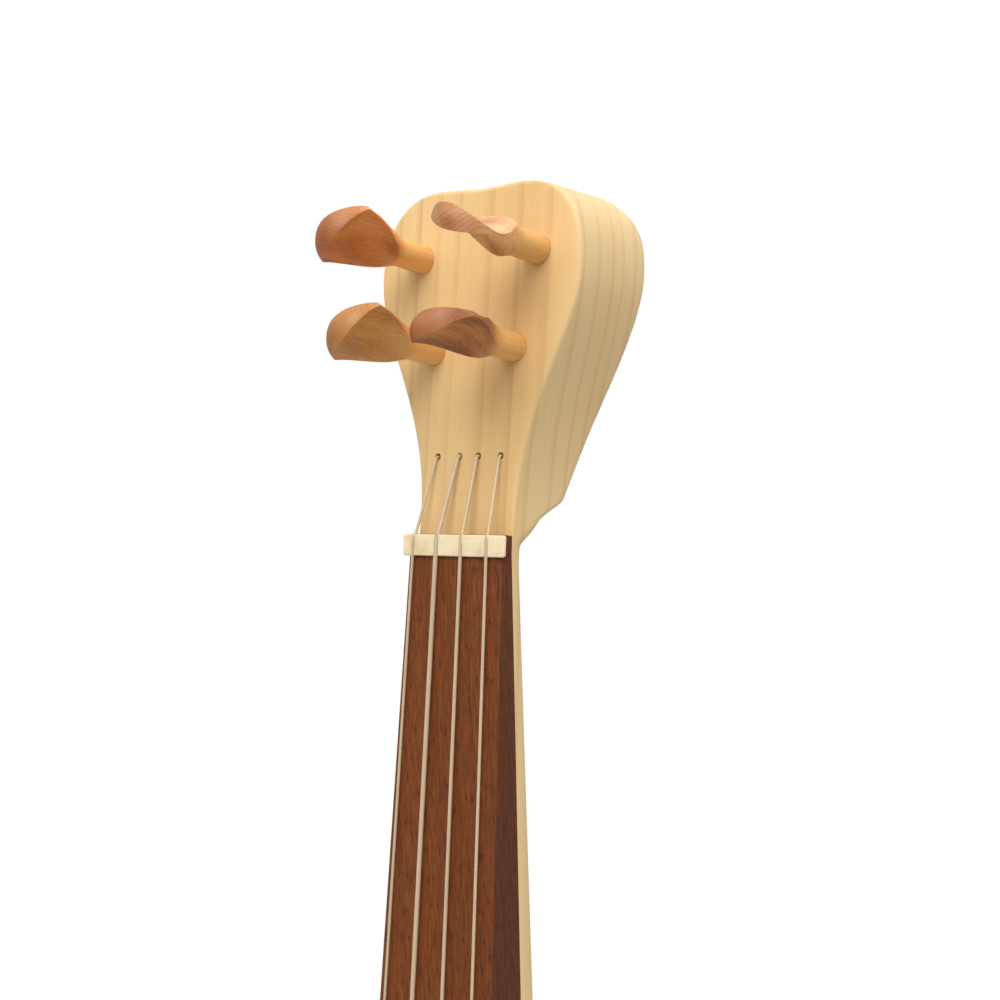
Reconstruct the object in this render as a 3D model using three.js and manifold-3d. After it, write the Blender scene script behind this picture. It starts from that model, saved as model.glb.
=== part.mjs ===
// A four-string, fretless, pear-shaped lute with a hollow wooden head and four friction pegs that stand
// out of the head's front. Units are millimetres. +X is the viewer's right, +Z runs up the neck and the
// strings lie on the -Y side. The origin is the middle of the end button's flat end.
//
// Two working frames keep the numbers plain. In both, x is the viewer's right, y runs up the instrument
// and z comes out of its front:
//   body frame: z = 0 is the plane of the soundboard's and the neck's top, y = 0 is the button's end
//   head frame: z = 0 is the head's front face, which leans back, and y = 0 is the nut
import * as THREE from "three";
import { mergeVertices } from "three/addons/utils/BufferGeometryUtils.js";
import Module from "manifold-3d";

const wasm = await Module();
wasm.setup();

// ---- driving dimensions ----
const GLUE_GAP = 0.2; // every glued or resting joint keeps this much air
const STRING_GAP = 0.3; // strings stay this far from the wood and bone that they pass over or through
const LEAN = THREE.MathUtils.degToRad(4.48); // how far the head's face leans back from the neck's top
const BUTTON_DEPTH = 24; // the end button's axis lies this far behind the soundboard's top

const BODY_BOTTOM = 12;
const BODY_LENGTH = 352;
const BODY_HALF_WIDTH = 108;
const BODY_DEPTH = 58; // from the soundboard's underside to the deepest point of the back
const WIDEST_Y = BODY_BOTTOM + 124; // height of the widest and deepest place
const SHELL = 4; // wall of the carved back
const JOINT_Y = BODY_BOTTOM + BODY_LENGTH; // where the neck meets the body
const NECK_LENGTH = 205;
const NUT_Y = JOINT_Y + NECK_LENGTH;
const STRING_LENGTH = 430;
const BRIDGE_Y = NUT_Y - STRING_LENGTH;

const NECK_HALF_WIDTH = 18.26; // at the nut
const NECK_FLARE = 0.025; // half-width gained per millimetre down from the nut
const NECK_DEPTH = 14.3; // at the nut, below the fingerboard
const NECK_DEEPEN = 0.05; // depth gained per millimetre down from the nut

const HEAD_THICKNESS = 42.3;
const HEAD_WALL = 7;
const FACE_PLATE = 9; // thickness of the head's front plate
const HEAD_TOP = 118; // head's height above the nut

const BOARD_THICKNESS = 5; // fingerboard at the nut; it grows as a wedge, because its top follows the head
const BOARD_LENGTH = 292;
const NUT_LOW = -1.1;
const NUT_HIGH = 5.7;
const NUT_HALF_WIDTH = 19.7;
const NUT_HEIGHT = 1.3;

const TOP_THICKNESS = 3;

const PEG_SHAFT = 4.6; // radius
const PEG_CLEARANCE = 0.06;
const PEG_TIP = 47.6; // how far a peg stands out of the face
const PEG_TAIL = -26; // and how far its other end reaches in
const PEG_TAIL_RADIUS = 3.8;
const WINDING_HALF = 2.4; // half the length of a string's turns on its peg

// Pegs: hole's centre on the head's face, how far each is pulled out past the usual place, the way the
// grip's broad side is turned at rest, and the middle of its string's turns. The lower pegs take their
// strings deeper, under those that go past them.
const PEGS = [
  { name: "peg_lower_left", x: -15.75, y: 65.4, out: 1, turn: 43, winding: -20 },
  { name: "peg_upper_left", x: -22.2, y: 96, out: 1, turn: 40, winding: -13.6 },
  { name: "peg_upper_right", x: 23.1, y: 95.3, out: 1, turn: -22, winding: -13.6 },
  { name: "peg_lower_right", x: 15.7, y: 65.1, out: -1, turn: 17, winding: -20 },
];
// Strings from the lowest to the highest: radius, place on the nut and on the bridge, hole in the head.
// Each goes to the peg of the same row in PEGS.
const STRINGS = [
  { radius: 0.45, nut: -15.6, bridge: -22.6, hole: -12.3 },
  { radius: 0.75, nut: -6.5, bridge: -8.4, hole: -3.65 },
  { radius: 0.58, nut: 3.1, bridge: 6.9, hole: 3.65 },
  { radius: 0.5, nut: 12.9, bridge: 20.8, hole: 12.3 },
];
const STRING_HOLE_Y = 31;
const STRING_HOLE_RADIUS = 1.15;
const STRING_OVER_BOARD = 1.35; // string's axis above the fingerboard at the nut
const STRING_RISE = 0.0035; // height gained over the fingerboard per millimetre

// ---- materials ----
const finish = (color, roughness) => new THREE.MeshStandardMaterial({ color, roughness, metalness: 0 });
const MAPLE = finish(0xe5be82, 0.55);
const SPRUCE = finish(0xe8cf9c, 0.6);
const ROSEWOOD = finish(0x6b3f26, 0.5);
const PLUM = finish(0xaa6a3c, 0.45);
const BONE = finish(0xf5e6c4, 0.35);
const NYLON = finish(0xe9e2d2, 0.3);

// ---- helpers ----
const lerp = (a, b, t) => a + (b - a) * t;
const clamp = (t) => Math.min(Math.max(t, 0), 1);
// An S-shaped rise from 0 to 1.
const rise = (t) => clamp(t) ** 2 * (3 - 2 * clamp(t));
// A rounded fall from 1 to 0: a quarter of a superellipse.
const rounding = (t, exponent) => (1 - clamp(t) ** exponent) ** (1 / exponent);

// A smooth curve through points, as a function from the first coordinate to the second.
function smooth(points) {
  return (at) => {
    const last = points.length - 1;
    if (at <= points[0][0]) return points[0][1];
    if (at >= points[last][0]) return points[last][1];
    const i = points.findIndex((p) => p[0] > at) - 1;
    const [a, b] = [points[i], points[i + 1]];
    const before = points[Math.max(i - 1, 0)];
    const after = points[Math.min(i + 2, last)];
    const span = b[0] - a[0];
    const slopeA = (b[1] - before[1]) / (b[0] - before[0]);
    const slopeB = (after[1] - a[1]) / (after[0] - a[0]);
    const t = (at - a[0]) / span;
    const t2 = t * t;
    const t3 = t2 * t;
    return (
      (2 * t3 - 3 * t2 + 1) * a[1] +
      (t3 - 2 * t2 + t) * span * slopeA +
      (3 * t2 - 2 * t3) * b[1] +
      (t3 - t2) * span * slopeB
    );
  };
}

function solid(geometry, matrix = new THREE.Matrix4()) {
  const g = geometry.index ? geometry.toNonIndexed() : geometry.clone();
  g.applyMatrix4(matrix);
  for (const name of Object.keys(g.attributes)) if (name !== "position") g.deleteAttribute(name);
  const merged = mergeVertices(g, 1e-4);
  return new wasm.Manifold(
    new wasm.Mesh({
      numProp: 3,
      vertProperties: merged.attributes.position.array,
      triVerts: new Uint32Array(merged.index.array),
    }),
  );
}

function geometryOf(manifold) {
  const mesh = manifold.getMesh();
  const g = new THREE.BufferGeometry();
  g.setAttribute("position", new THREE.BufferAttribute(Float32Array.from(mesh.vertProperties), 3));
  g.setIndex(new THREE.BufferAttribute(Uint32Array.from(mesh.triVerts), 1));
  g.computeVertexNormals();
  return g;
}

const moved = (x, y, z) => new THREE.Matrix4().makeTranslation(x, y, z);

const box = (x, y, z) =>
  solid(new THREE.BoxGeometry(x[1] - x[0], y[1] - y[0], z[1] - z[0]), moved(
    (x[0] + x[1]) / 2, (y[0] + y[1]) / 2, (z[0] + z[1]) / 2));

// A flat outline given by points or by a THREE.Shape, from one height to another along z.
function plate(outline, low, high, steps = 12) {
  const isShape = outline instanceof THREE.Shape;
  const shape = isShape ? outline : new THREE.Shape(outline.map(([x, y]) => new THREE.Vector2(x, y)));
  const depth = high - low;
  const g = new THREE.ExtrudeGeometry(shape, { depth, bevelEnabled: false, curveSegments: steps });
  return solid(g, moved(0, 0, low));
}

// The same, with the outline in the y-z plane and the thickness along x.
function sidePlate(outline, low, high) {
  const shape = new THREE.Shape(outline.map(([y, z]) => new THREE.Vector2(y, z)));
  const g = new THREE.ExtrudeGeometry(shape, { depth: high - low, bevelEnabled: false });
  const axes = new THREE.Matrix4().makeBasis(
    new THREE.Vector3(0, 1, 0), new THREE.Vector3(0, 0, 1), new THREE.Vector3(1, 0, 0));
  return solid(g, moved(low, 0, 0).multiply(axes));
}

// A turned piece about the z axis through (x, y), from [radius, z] points that start and end on the axis.
function turned(profile, sides, x = 0, y = 0) {
  const g = new THREE.LatheGeometry(profile.map(([r, z]) => new THREE.Vector2(r, z)), sides);
  return solid(g, moved(x, y, 0).multiply(new THREE.Matrix4().makeRotationX(Math.PI / 2)));
}

const rod = (radius, low, high, sides, x, y) =>
  turned([[0, low], [radius, low], [radius, high], [0, high]], sides, x, y);

// A round cord along straight or bent runs of points.
function cord(points, radius, sides, bend = 0) {
  const at = points.map((p) => new THREE.Vector3(...p));
  const path = new THREE.CurvePath();
  let start = at[0];
  for (let i = 1; i < at.length; i += 1) {
    const corner = at[i];
    if (i === at.length - 1 || bend === 0) {
      path.add(new THREE.LineCurve3(start, corner));
      start = corner;
    } else {
      const into = corner.clone().sub(at[i - 1]).setLength(bend);
      const out = at[i + 1].clone().sub(corner).setLength(bend);
      const from = corner.clone().sub(into);
      const to = corner.clone().add(out);
      path.add(new THREE.LineCurve3(start, from));
      path.add(new THREE.QuadraticBezierCurve3(from, corner, to));
      start = to;
    }
  }
  return tube(path, radius, sides);
}

// A closed tube along a path of curves: one ring at each end of a straight run, and four in each bend.
function tube(path, radius, sides) {
  const spine = path.curves.flatMap((c, i) => {
    const points = c.getPoints(c.isLineCurve3 ? 1 : 4);
    return i === 0 ? points : points.slice(1);
  });
  const frames = spine.map((p, i) => {
    const back = spine[Math.max(i - 1, 0)];
    const ahead = spine[Math.min(i + 1, spine.length - 1)];
    return ahead.clone().sub(back).normalize();
  });
  let side = Math.abs(frames[0].x) < 0.9 ? new THREE.Vector3(1, 0, 0) : new THREE.Vector3(0, 1, 0);
  const positions = [];
  spine.forEach((p, i) => {
    side = side.clone().addScaledVector(frames[i], -side.dot(frames[i])).normalize();
    const up = frames[i].clone().cross(side);
    for (let k = 0; k < sides; k += 1) {
      const a = (2 * Math.PI * k) / sides;
      const q = p.clone().addScaledVector(side, radius * Math.cos(a));
      q.addScaledVector(up, radius * Math.sin(a));
      positions.push(q.x, q.y, q.z);
    }
  });
  return solid(skin(positions, spine.length, sides));
}

// Joins rings of points, all with the same number of points and turning the same way, into a closed body.
function skin(positions, rings, count) {
  const faces = [];
  for (let r = 0; r + 1 < rings; r += 1)
    for (let k = 0; k < count; k += 1) {
      const next = (k + 1) % count;
      const [a, b, c, d] = [r * count + k, r * count + next, (r + 1) * count + next, (r + 1) * count + k];
      faces.push(a, b, c, a, c, d);
    }
  const last = (rings - 1) * count;
  for (let k = 1; k + 1 < count; k += 1) {
    faces.push(0, k + 1, k);
    faces.push(last, last + k, last + k + 1);
  }
  const g = new THREE.BufferGeometry();
  g.setAttribute("position", new THREE.Float32BufferAttribute(positions, 3));
  g.setIndex(faces);
  return g;
}

// A body lofted up y. section(y) gives its half-width, the z of its flat front, its depth behind that
// front and how square it is: 2 is half an ellipse, and a larger number nears a rectangle.
function loft(heights, section, arc = 20) {
  const positions = [];
  const FRONT = 4; // points across the flat front, between its two corners
  for (const y of heights) {
    const { half, front, depth, square } = section(y);
    for (let k = 0; k <= FRONT; k += 1) positions.push(lerp(-half, half, k / FRONT), y, front);
    for (let k = 1; k < arc; k += 1) {
      const a = (Math.PI * k) / arc;
      const bulge = (v) => Math.sign(v) * Math.abs(v) ** (2 / square);
      positions.push(half * bulge(Math.cos(a)), y, front - depth * bulge(Math.sin(a)));
    }
  }
  return solid(skin(positions, heights.length, FRONT + arc));
}

const range = (low, high, count) => Array.from({ length: count + 1 }, (_, i) => lerp(low, high, i / count));

// ---- neck and head ----
// The neck's tenon, which a mortise in the body's neck block takes.
const TENON_HALF = 11;
const TENON_LENGTH = 20;
const TENON_SHALLOW = 4;
const TENON_DEEP = 14.5;
const neckHalfWidth = (drop) => NECK_HALF_WIDTH + NECK_FLARE * drop;

// The head's outline, half-width against height above the nut: an S-shaped flare up to the widest place,
// then rounded shoulders, which leave a short flat crown.
const FLARE_START = 4;
const FLARE_SKEW = 1.4; // above 1, the flare begins slowly
const HEAD_WIDEST = 90;
const HEAD_HALF_WIDTH = 39.2;
const CROWN_HALF_WIDTH = 14;
const SHOULDER_ROUNDING = 2.4;
function headHalfWidth(v) {
  const flare = Math.max(v - FLARE_START, 0) / (HEAD_WIDEST - FLARE_START);
  if (v < HEAD_WIDEST) return lerp(NECK_HALF_WIDTH, HEAD_HALF_WIDTH, rise(flare ** FLARE_SKEW));
  const shoulder = rounding((v - HEAD_WIDEST) / (HEAD_TOP - HEAD_WIDEST), SHOULDER_ROUNDING);
  return lerp(CROWN_HALF_WIDTH, HEAD_HALF_WIDTH, shoulder);
}

// Depth from front to back, at a height above the nut. The neck's back coves outwards, turns under the head
// in a short step and goes on as the heel's long curve, up to an even slab with a rounded top.
const COVE = { low: -8, high: 12, depth: 5 };
const STEP = { middle: 13.5, half: 3.5 };
const HEEL = { low: 14.5, high: 66, drop: 13.5 };
const SLAB_TOP = 102;
const CROWN_DEPTH = 29;
const CROWN_ROUNDING = 1.7;
function headDepth(v) {
  const cove = COVE.depth * clamp((v - COVE.low) / (COVE.high - COVE.low)) ** 2;
  const neck = NECK_DEPTH - NECK_DEEPEN * v + cove;
  const heel = HEAD_THICKNESS - HEEL.drop * (Math.max(HEEL.high - v, 0) / (HEEL.high - HEEL.low)) ** 2;
  const crown = rounding((v - SLAB_TOP) / (HEAD_TOP - SLAB_TOP), CROWN_ROUNDING);
  if (v > SLAB_TOP) return lerp(CROWN_DEPTH, HEAD_THICKNESS, crown);
  return lerp(neck, heel, rise((v - STEP.middle + STEP.half) / (2 * STEP.half)));
}

// The exponent of the back's section: round on the neck, nearly square on the head.
const SQUARE = { low: 2, high: 24, neck: 2, head: 20 };
const headSquareness = (v) => lerp(SQUARE.neck, SQUARE.head, rise((v - SQUARE.low) / (SQUARE.high - SQUARE.low)));

function neckAndHead() {
  const neckSection = (y) => {
    const above = y - NUT_Y;
    const half = above < 0 ? neckHalfWidth(-above) : headHalfWidth(above);
    const depth = headDepth(above);
    const front = above > 0 ? -above * Math.tan(LEAN) : 0;
    return { half, front, depth, square: headSquareness(above) };
  };
  const aboveNut = [
    -8, -4, 0, 4, 8, 10, 11.5, 13, 14.5, 16, 17, 19, 22, 27, 32, 38, 46, 54.5, 60, 66, 72, 78, 84, 90, 97, 102, 106, 109,
    112, 114, 115.5, 116.7, 117.5, HEAD_TOP,
  ];
  const heights = [...range(JOINT_Y + GLUE_GAP, NUT_Y - 14, 6), ...aboveNut.map((v) => NUT_Y + v)];
  const body = loft(heights, neckSection, 24);
  const tenonAlong = [JOINT_Y - TENON_LENGTH, JOINT_Y + 2];
  const tenon = box([-TENON_HALF, TENON_HALF], tenonAlong, [-TENON_DEEP, -TENON_SHALLOW]);
  return body.add(tenon).transform(bodyToHead()).subtract(headHollow()).subtract(headHoles());
}

// The head's hollow, open at the back: the outline moved in by the wall, behind the front plate.
function headHollow() {
  const LOW = 23;
  const HIGH = HEAD_TOP - HEAD_WALL;
  const half = (v) => headHalfWidth(v) - HEAD_WALL * (v < 60 ? 0.93 : 1);
  const right = [...range(LOW + 2, 100, 12), 104, 107.5].map((v) => [half(v), v]);
  const outline = [
    [half(LOW) - 2.5, LOW], ...right, [right.at(-1)[0] - 6, HIGH - 0.8], [right.at(-1)[0] - 13, HIGH],
  ];
  const mirrored = outline.map(([x, y]) => [-x, y]).reverse();
  return plate([...outline, ...mirrored], -HEAD_THICKNESS - 30, -FACE_PLATE);
}

const PEG_SIDES = 32;
function headHoles() {
  const bore = (PEG_SHAFT + PEG_CLEARANCE) / Math.cos(Math.PI / PEG_SIDES);
  const low = -FACE_PLATE - 3;
  const pegHoles = PEGS.map((p) => rod(bore, low, 3, PEG_SIDES, p.x, p.y));
  const stringHoles = STRINGS.map((s) => rod(STRING_HOLE_RADIUS, low, 3, 10, s.hole, STRING_HOLE_Y));
  return wasm.Manifold.union([...pegHoles, ...stringHoles]);
}

// ---- frames ----
const bodyFrame = new THREE.Group();
bodyFrame.position.y = -BUTTON_DEPTH;
bodyFrame.rotation.x = Math.PI / 2;
const headFrame = new THREE.Group();
headFrame.position.y = NUT_Y;
headFrame.rotation.x = -LEAN;
bodyFrame.add(headFrame);

// The matrix that takes body-frame coordinates to head-frame coordinates, as manifold wants it.
function bodyToHead() {
  return new THREE.Matrix4().makeRotationX(LEAN).multiply(moved(0, -NUT_Y, 0)).elements;
}
// A point of the head frame, in the body frame.
const fromHead = (x, y, z) => {
  const p = new THREE.Vector3(x, y, z).applyMatrix4(new THREE.Matrix4().makeRotationX(-LEAN));
  return [p.x, p.y + NUT_Y, p.z];
};

// ---- fingerboard and nut ----
// In the head frame the fingerboard's top is level, and its underside drops away with the neck.
const neckTop = (y) => y * Math.tan(LEAN);
function fingerboard() {
  const NUT_END = 5.9;
  const OVER_BODY = -(NECK_LENGTH + 6); // past here its underside clears the soundboard
  const CLEARANCE = 4;
  const low = -BOARD_LENGTH;
  const side = [
    [NUT_END, GLUE_GAP], [0, neckTop(0) + GLUE_GAP], [OVER_BODY, neckTop(OVER_BODY) + GLUE_GAP],
    [OVER_BODY - 5, neckTop(OVER_BODY) + CLEARANCE], [low, neckTop(low) + CLEARANCE],
    [low, BOARD_THICKNESS], [NUT_END, BOARD_THICKNESS],
  ];
  const at = (y) => neckHalfWidth(-y);
  const front = [[at(NUT_END), NUT_END], [-at(NUT_END), NUT_END], [-at(low), low], [at(low), low]];
  return sidePlate(side, -60, 60).intersect(plate(front, -60, 60));
}

function nut() {
  const base = BOARD_THICKNESS + GLUE_GAP;
  const ROUND = 1;
  const shape = new THREE.Shape();
  const [x, low, high] = [NUT_HALF_WIDTH, NUT_LOW, NUT_HIGH];
  shape.moveTo(-x + ROUND, low).lineTo(x - ROUND, low).quadraticCurveTo(x, low, x, low + ROUND);
  shape.lineTo(x, high - ROUND).quadraticCurveTo(x, high, x - ROUND, high);
  shape.lineTo(-x + ROUND, high).quadraticCurveTo(-x, high, -x, high - ROUND);
  shape.lineTo(-x, low + ROUND).quadraticCurveTo(-x, low, -x + ROUND, low);
  const SLOT_GAP = 0.2;
  const slots = STRINGS.map((s) => stringRun(s, s.radius + SLOT_GAP));
  return plate(shape, base, base + NUT_HEIGHT, 3).subtract(wasm.Manifold.union(slots));
}

// ---- strings, in the head frame ----
// Bridge to nut to the hole in the face, through the plate, and up to the peg inside the hollow.
function stringPoints(s, index) {
  const peg = PEGS[index];
  const height = BOARD_THICKNESS + STRING_OVER_BOARD;
  const bridgeHeight = height + STRING_RISE * STRING_LENGTH;
  const inner = -Math.sign(peg.x) * (PEG_TAIL_RADIUS + 2 * GLUE_GAP + 3 * s.radius);
  return {
    tail: tailPoint(s),
    bridge: [s.bridge, BRIDGE_Y - NUT_Y, bridgeHeight],
    nut: [s.nut, 3, height],
    mouth: [s.hole, STRING_HOLE_Y, 0.8 * s.radius + 0.15],
    back: [s.hole, STRING_HOLE_Y, -FACE_PLATE - 1.2],
    peg: [peg.x + inner, peg.y - 1, peg.winding],
  };
}

// A straight piece between the bridge and the nut and on to the hole, used for the string and its slots.
function stringRun(s, radius) {
  const p = stringPoints(s, STRINGS.indexOf(s));
  return cord([p.bridge, p.nut, p.mouth], radius, 8);
}

function string(s, index) {
  const p = stringPoints(s, index);
  return cord([p.tail, p.bridge, p.nut, p.mouth, p.back, p.peg], s.radius, 8, 0.6);
}

// ---- pegs, each in a frame on its own axis ----
const GRIP_LOW = 13; // where the round shaft ends
// A round shaft that flares into a blunt bell, which two long scoops leave as a flat leaf: thinnest
// where it nears its full width, and thick again at its tip.
const GRIP_WIDEST = 38;
const GRIP_RADIUS = 11.5;
const GRIP_ROUNDING = 1.6; // of the blunt end
const flaring = smooth([[GRIP_LOW, PEG_SHAFT], [20, 6.5], [30, 9.7], [GRIP_WIDEST, GRIP_RADIUS]]);
function pegRadius(z) {
  if (z < GRIP_WIDEST) return flaring(z);
  return GRIP_RADIUS * rounding((z - GRIP_WIDEST) / (PEG_TIP - GRIP_WIDEST), GRIP_ROUNDING);
}
const LEAF_HALF = 0.6; // half the leaf's thickness at its thinnest place
const LEAF_THINNEST = 35.5;
const SCOOP = { below: 26, above: 18.5 }; // radius of each scoop's curve, below and above that place
const gripHalfThickness = (z) =>
  LEAF_HALF + (z - LEAF_THINNEST) ** 2 / (2 * (z < LEAF_THINNEST ? SCOOP.below : SCOOP.above));

function peg() {
  const grip = [...range(GRIP_LOW, 40, 14).slice(1), 42, 43.8, 45.4, 46.8];
  const body = turned([
    [0, PEG_TAIL], [PEG_TAIL_RADIUS - 0.5, PEG_TAIL], [PEG_TAIL_RADIUS, PEG_TAIL + 1],
    [PEG_TAIL_RADIUS, -FACE_PLATE - 2], [PEG_SHAFT, -FACE_PLATE - 1], [PEG_SHAFT, GRIP_LOW],
    ...grip.map((z) => [pegRadius(z), z]), [0, PEG_TIP],
  ], PEG_SIDES);
  const side = (sign) => range(GRIP_LOW, 48, 18).map((z) => [sign * gripHalfThickness(z), z]);
  const outline = [[-8, -40], ...side(-1), ...side(1).reverse(), [8, -40]];
  return body.intersect(sidePlate(outline, -20, 20));
}

// The turns of string on a peg, as one ring.
function winding(radius, middle) {
  const inner = PEG_TAIL_RADIUS + GLUE_GAP;
  const [low, high] = [middle - WINDING_HALF, middle + WINDING_HALF];
  return rod(inner + 2 * radius, low, high, 24).subtract(rod(inner, low - 1, high + 1, 24));
}

// ---- body ----
const BODY_SQUARENESS = 2.25;
const upper = (y) => (y - WIDEST_Y) / (JOINT_Y - WIDEST_Y);
const JOINT_HALF_WIDTH = neckHalfWidth(NECK_LENGTH);
function bodyHalfWidth(y) {
  if (y < WIDEST_Y) {
    const t = Math.min((WIDEST_Y - y) / (WIDEST_Y - BODY_BOTTOM), 1);
    return BODY_HALF_WIDTH * (1 - t ** 2.15) ** (1 / 2.15);
  }
  const wave = 0.5 + 0.5 * Math.cos(Math.PI * upper(y) ** 0.96);
  return lerp(JOINT_HALF_WIDTH, BODY_HALF_WIDTH, wave);
}
const JOINT_DEPTH = NECK_DEPTH + NECK_DEEPEN * NECK_LENGTH;
function bodyDepth(y) {
  if (y < WIDEST_Y) {
    const t = Math.min((WIDEST_Y - y) / (WIDEST_Y - BODY_BOTTOM), 1);
    return BODY_DEPTH * (1 - t ** 2.8) ** (1 / 2.8);
  }
  const t = (y - WIDEST_Y) / (JOINT_Y - WIDEST_Y);
  return lerp(JOINT_DEPTH - TOP_THICKNESS, BODY_DEPTH, 0.5 + 0.5 * Math.cos(Math.PI * t ** 1.15));
}

// A solid like the body, smaller by an inset all round, from its bottom to the neck joint. Its front is
// flat at the given z, and it can run on past the joint to cut an open end.
function bodyLoft(inset, front, past = 0) {
  const section = (y, half, depth) => [
    y, { half: Math.max(half, 1), front, depth: Math.max(depth, 0.5), square: BODY_SQUARENESS },
  ];
  const lower = range(0, 1, 11).map((t) => {
    const rise = 1 - Math.cos((Math.PI / 2) * Math.max(t, 0.03));
    const outer = lerp(BODY_BOTTOM, WIDEST_Y, rise);
    const half = (bodyHalfWidth(outer) * (BODY_HALF_WIDTH - inset)) / BODY_HALF_WIDTH;
    const depth = (bodyDepth(outer) * (BODY_DEPTH - inset)) / BODY_DEPTH;
    return section(lerp(BODY_BOTTOM + inset, WIDEST_Y, rise), half, depth + TOP_THICKNESS + front);
  });
  const upperPart = range(WIDEST_Y, JOINT_Y, 12).slice(1).map((y) =>
    section(y, bodyHalfWidth(y) - inset, bodyDepth(y) + TOP_THICKNESS + front - inset));
  const sections = [...lower, ...upperPart];
  if (past > 0) sections.push([JOINT_Y + past, sections.at(-1)[1]]);
  const at = new Map(sections);
  return loft([...at.keys()], (y) => at.get(y), 20);
}
const RIM = -TOP_THICKNESS - GLUE_GAP; // where the back's rim lies

const SADDLE_HALF = 14;
const SADDLE_HIGH = BODY_BOTTOM + 6;
const SADDLE_TOP = 2.2;
function backShell() {
  return bodyLoft(0, RIM).subtract(bodyLoft(SHELL, RIM, 5)).subtract(buttonHole());
}

function soundboard() {
  const right = range(0, Math.PI / 2, 14).map((turn) => {
    const y = lerp(BODY_BOTTOM, WIDEST_Y, 1 - Math.cos(turn));
    return [bodyHalfWidth(y), y];
  });
  const top = range(WIDEST_Y, JOINT_Y - GLUE_GAP, 18).slice(1).map((y) => [bodyHalfWidth(y), y]);
  const half = [...right, ...top];
  const outline = [...half, ...half.slice(1).map(([x, y]) => [-x, y]).reverse()];
  const notchHalf = SADDLE_HALF + GLUE_GAP;
  const notch = box([-notchHalf, notchHalf], [0, SADDLE_HIGH + GLUE_GAP], [-9, 9]);
  return plate(outline, -TOP_THICKNESS, 0).subtract(notch).subtract(crescent(1)).subtract(crescent(-1));
}

// A crescent sound hole, its horns towards the edge.
function crescent(side) {
  const [x, y, tall, wide, bow] = [side * 50, BRIDGE_Y + 62, 29, 7, 9];
  const shape = new THREE.Shape();
  shape.moveTo(x + side * bow, y - tall);
  shape.quadraticCurveTo(x - side * (bow + wide), y, x + side * bow, y + tall);
  shape.quadraticCurveTo(x - side * (bow - wide), y, x + side * bow, y - tall);
  return plate(shape, -TOP_THICKNESS - 2, 2, 10);
}

// ---- inside the body ----
const BLOCK_NECK = 34;
const BLOCK_END = 24;
const BLOCK_END_HALF = 22;
const LINING_DEEP = 7;
const LINING_WIDE = 5;
const inside = (inset) => bodyLoft(SHELL + GLUE_GAP + inset, RIM - GLUE_GAP);

function neckBlock() {
  const mortise = box(
    [-TENON_HALF - GLUE_GAP, TENON_HALF + GLUE_GAP], [JOINT_Y - TENON_LENGTH - GLUE_GAP, JOINT_Y + 9],
    [-TENON_DEEP - GLUE_GAP, -TENON_SHALLOW + GLUE_GAP]);
  const block = box([-60, 60], [JOINT_Y - BLOCK_NECK, JOINT_Y - GLUE_GAP], [-90, 9]);
  return inside(0).intersect(block).subtract(mortise);
}

function endBlock() {
  const block = box([-BLOCK_END_HALF, BLOCK_END_HALF], [0, BODY_BOTTOM + BLOCK_END], [-44, 9]);
  return inside(0).intersect(block).subtract(buttonHole());
}

// The strips that widen the back's rim for the soundboard, one on each side between the blocks.
function lining(side) {
  const x = side < 0 ? [-120, -1] : [1, 120];
  const along = [BODY_BOTTOM + 16, JOINT_Y - BLOCK_NECK - GLUE_GAP];
  const strip = inside(0).intersect(box(x, along, [-TOP_THICKNESS - LINING_DEEP, 9]));
  const bore = bodyLoft(SHELL + GLUE_GAP + LINING_WIDE, RIM - GLUE_GAP, 5);
  const clearHalf = BLOCK_END_HALF + GLUE_GAP;
  const clear = box([-clearHalf, clearHalf], [0, BODY_BOTTOM + BLOCK_END + GLUE_GAP], [-90, 9]);
  return strip.subtract(bore).subtract(clear);
}

// A bar across the underside of the soundboard, deepest in the middle.
function crossBrace(y) {
  const bar = box([-110, 110], [y - 4, y + 4], [-15, 9]);
  return inside(GLUE_GAP + LINING_WIDE).intersect(bar);
}

const FOOT_X = 24; // the bridge's feet stand this far from the middle
function bassBar() {
  const [low, high] = [BRIDGE_Y - 62, BRIDGE_Y + 120];
  const top = RIM - GLUE_GAP;
  const side = [[low, -6], [BRIDGE_Y - 20, -13], [BRIDGE_Y + 40, -12], [high, -6], [high, top], [low, top]];
  return sidePlate(side, -FOOT_X - 3, -FOOT_X + 3);
}

function soundPost() {
  const dowel = rod(3.2, -90, RIM - GLUE_GAP, 16, FOOT_X - 2, BRIDGE_Y - 8);
  return dowel.intersect(inside(0.1));
}

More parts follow.
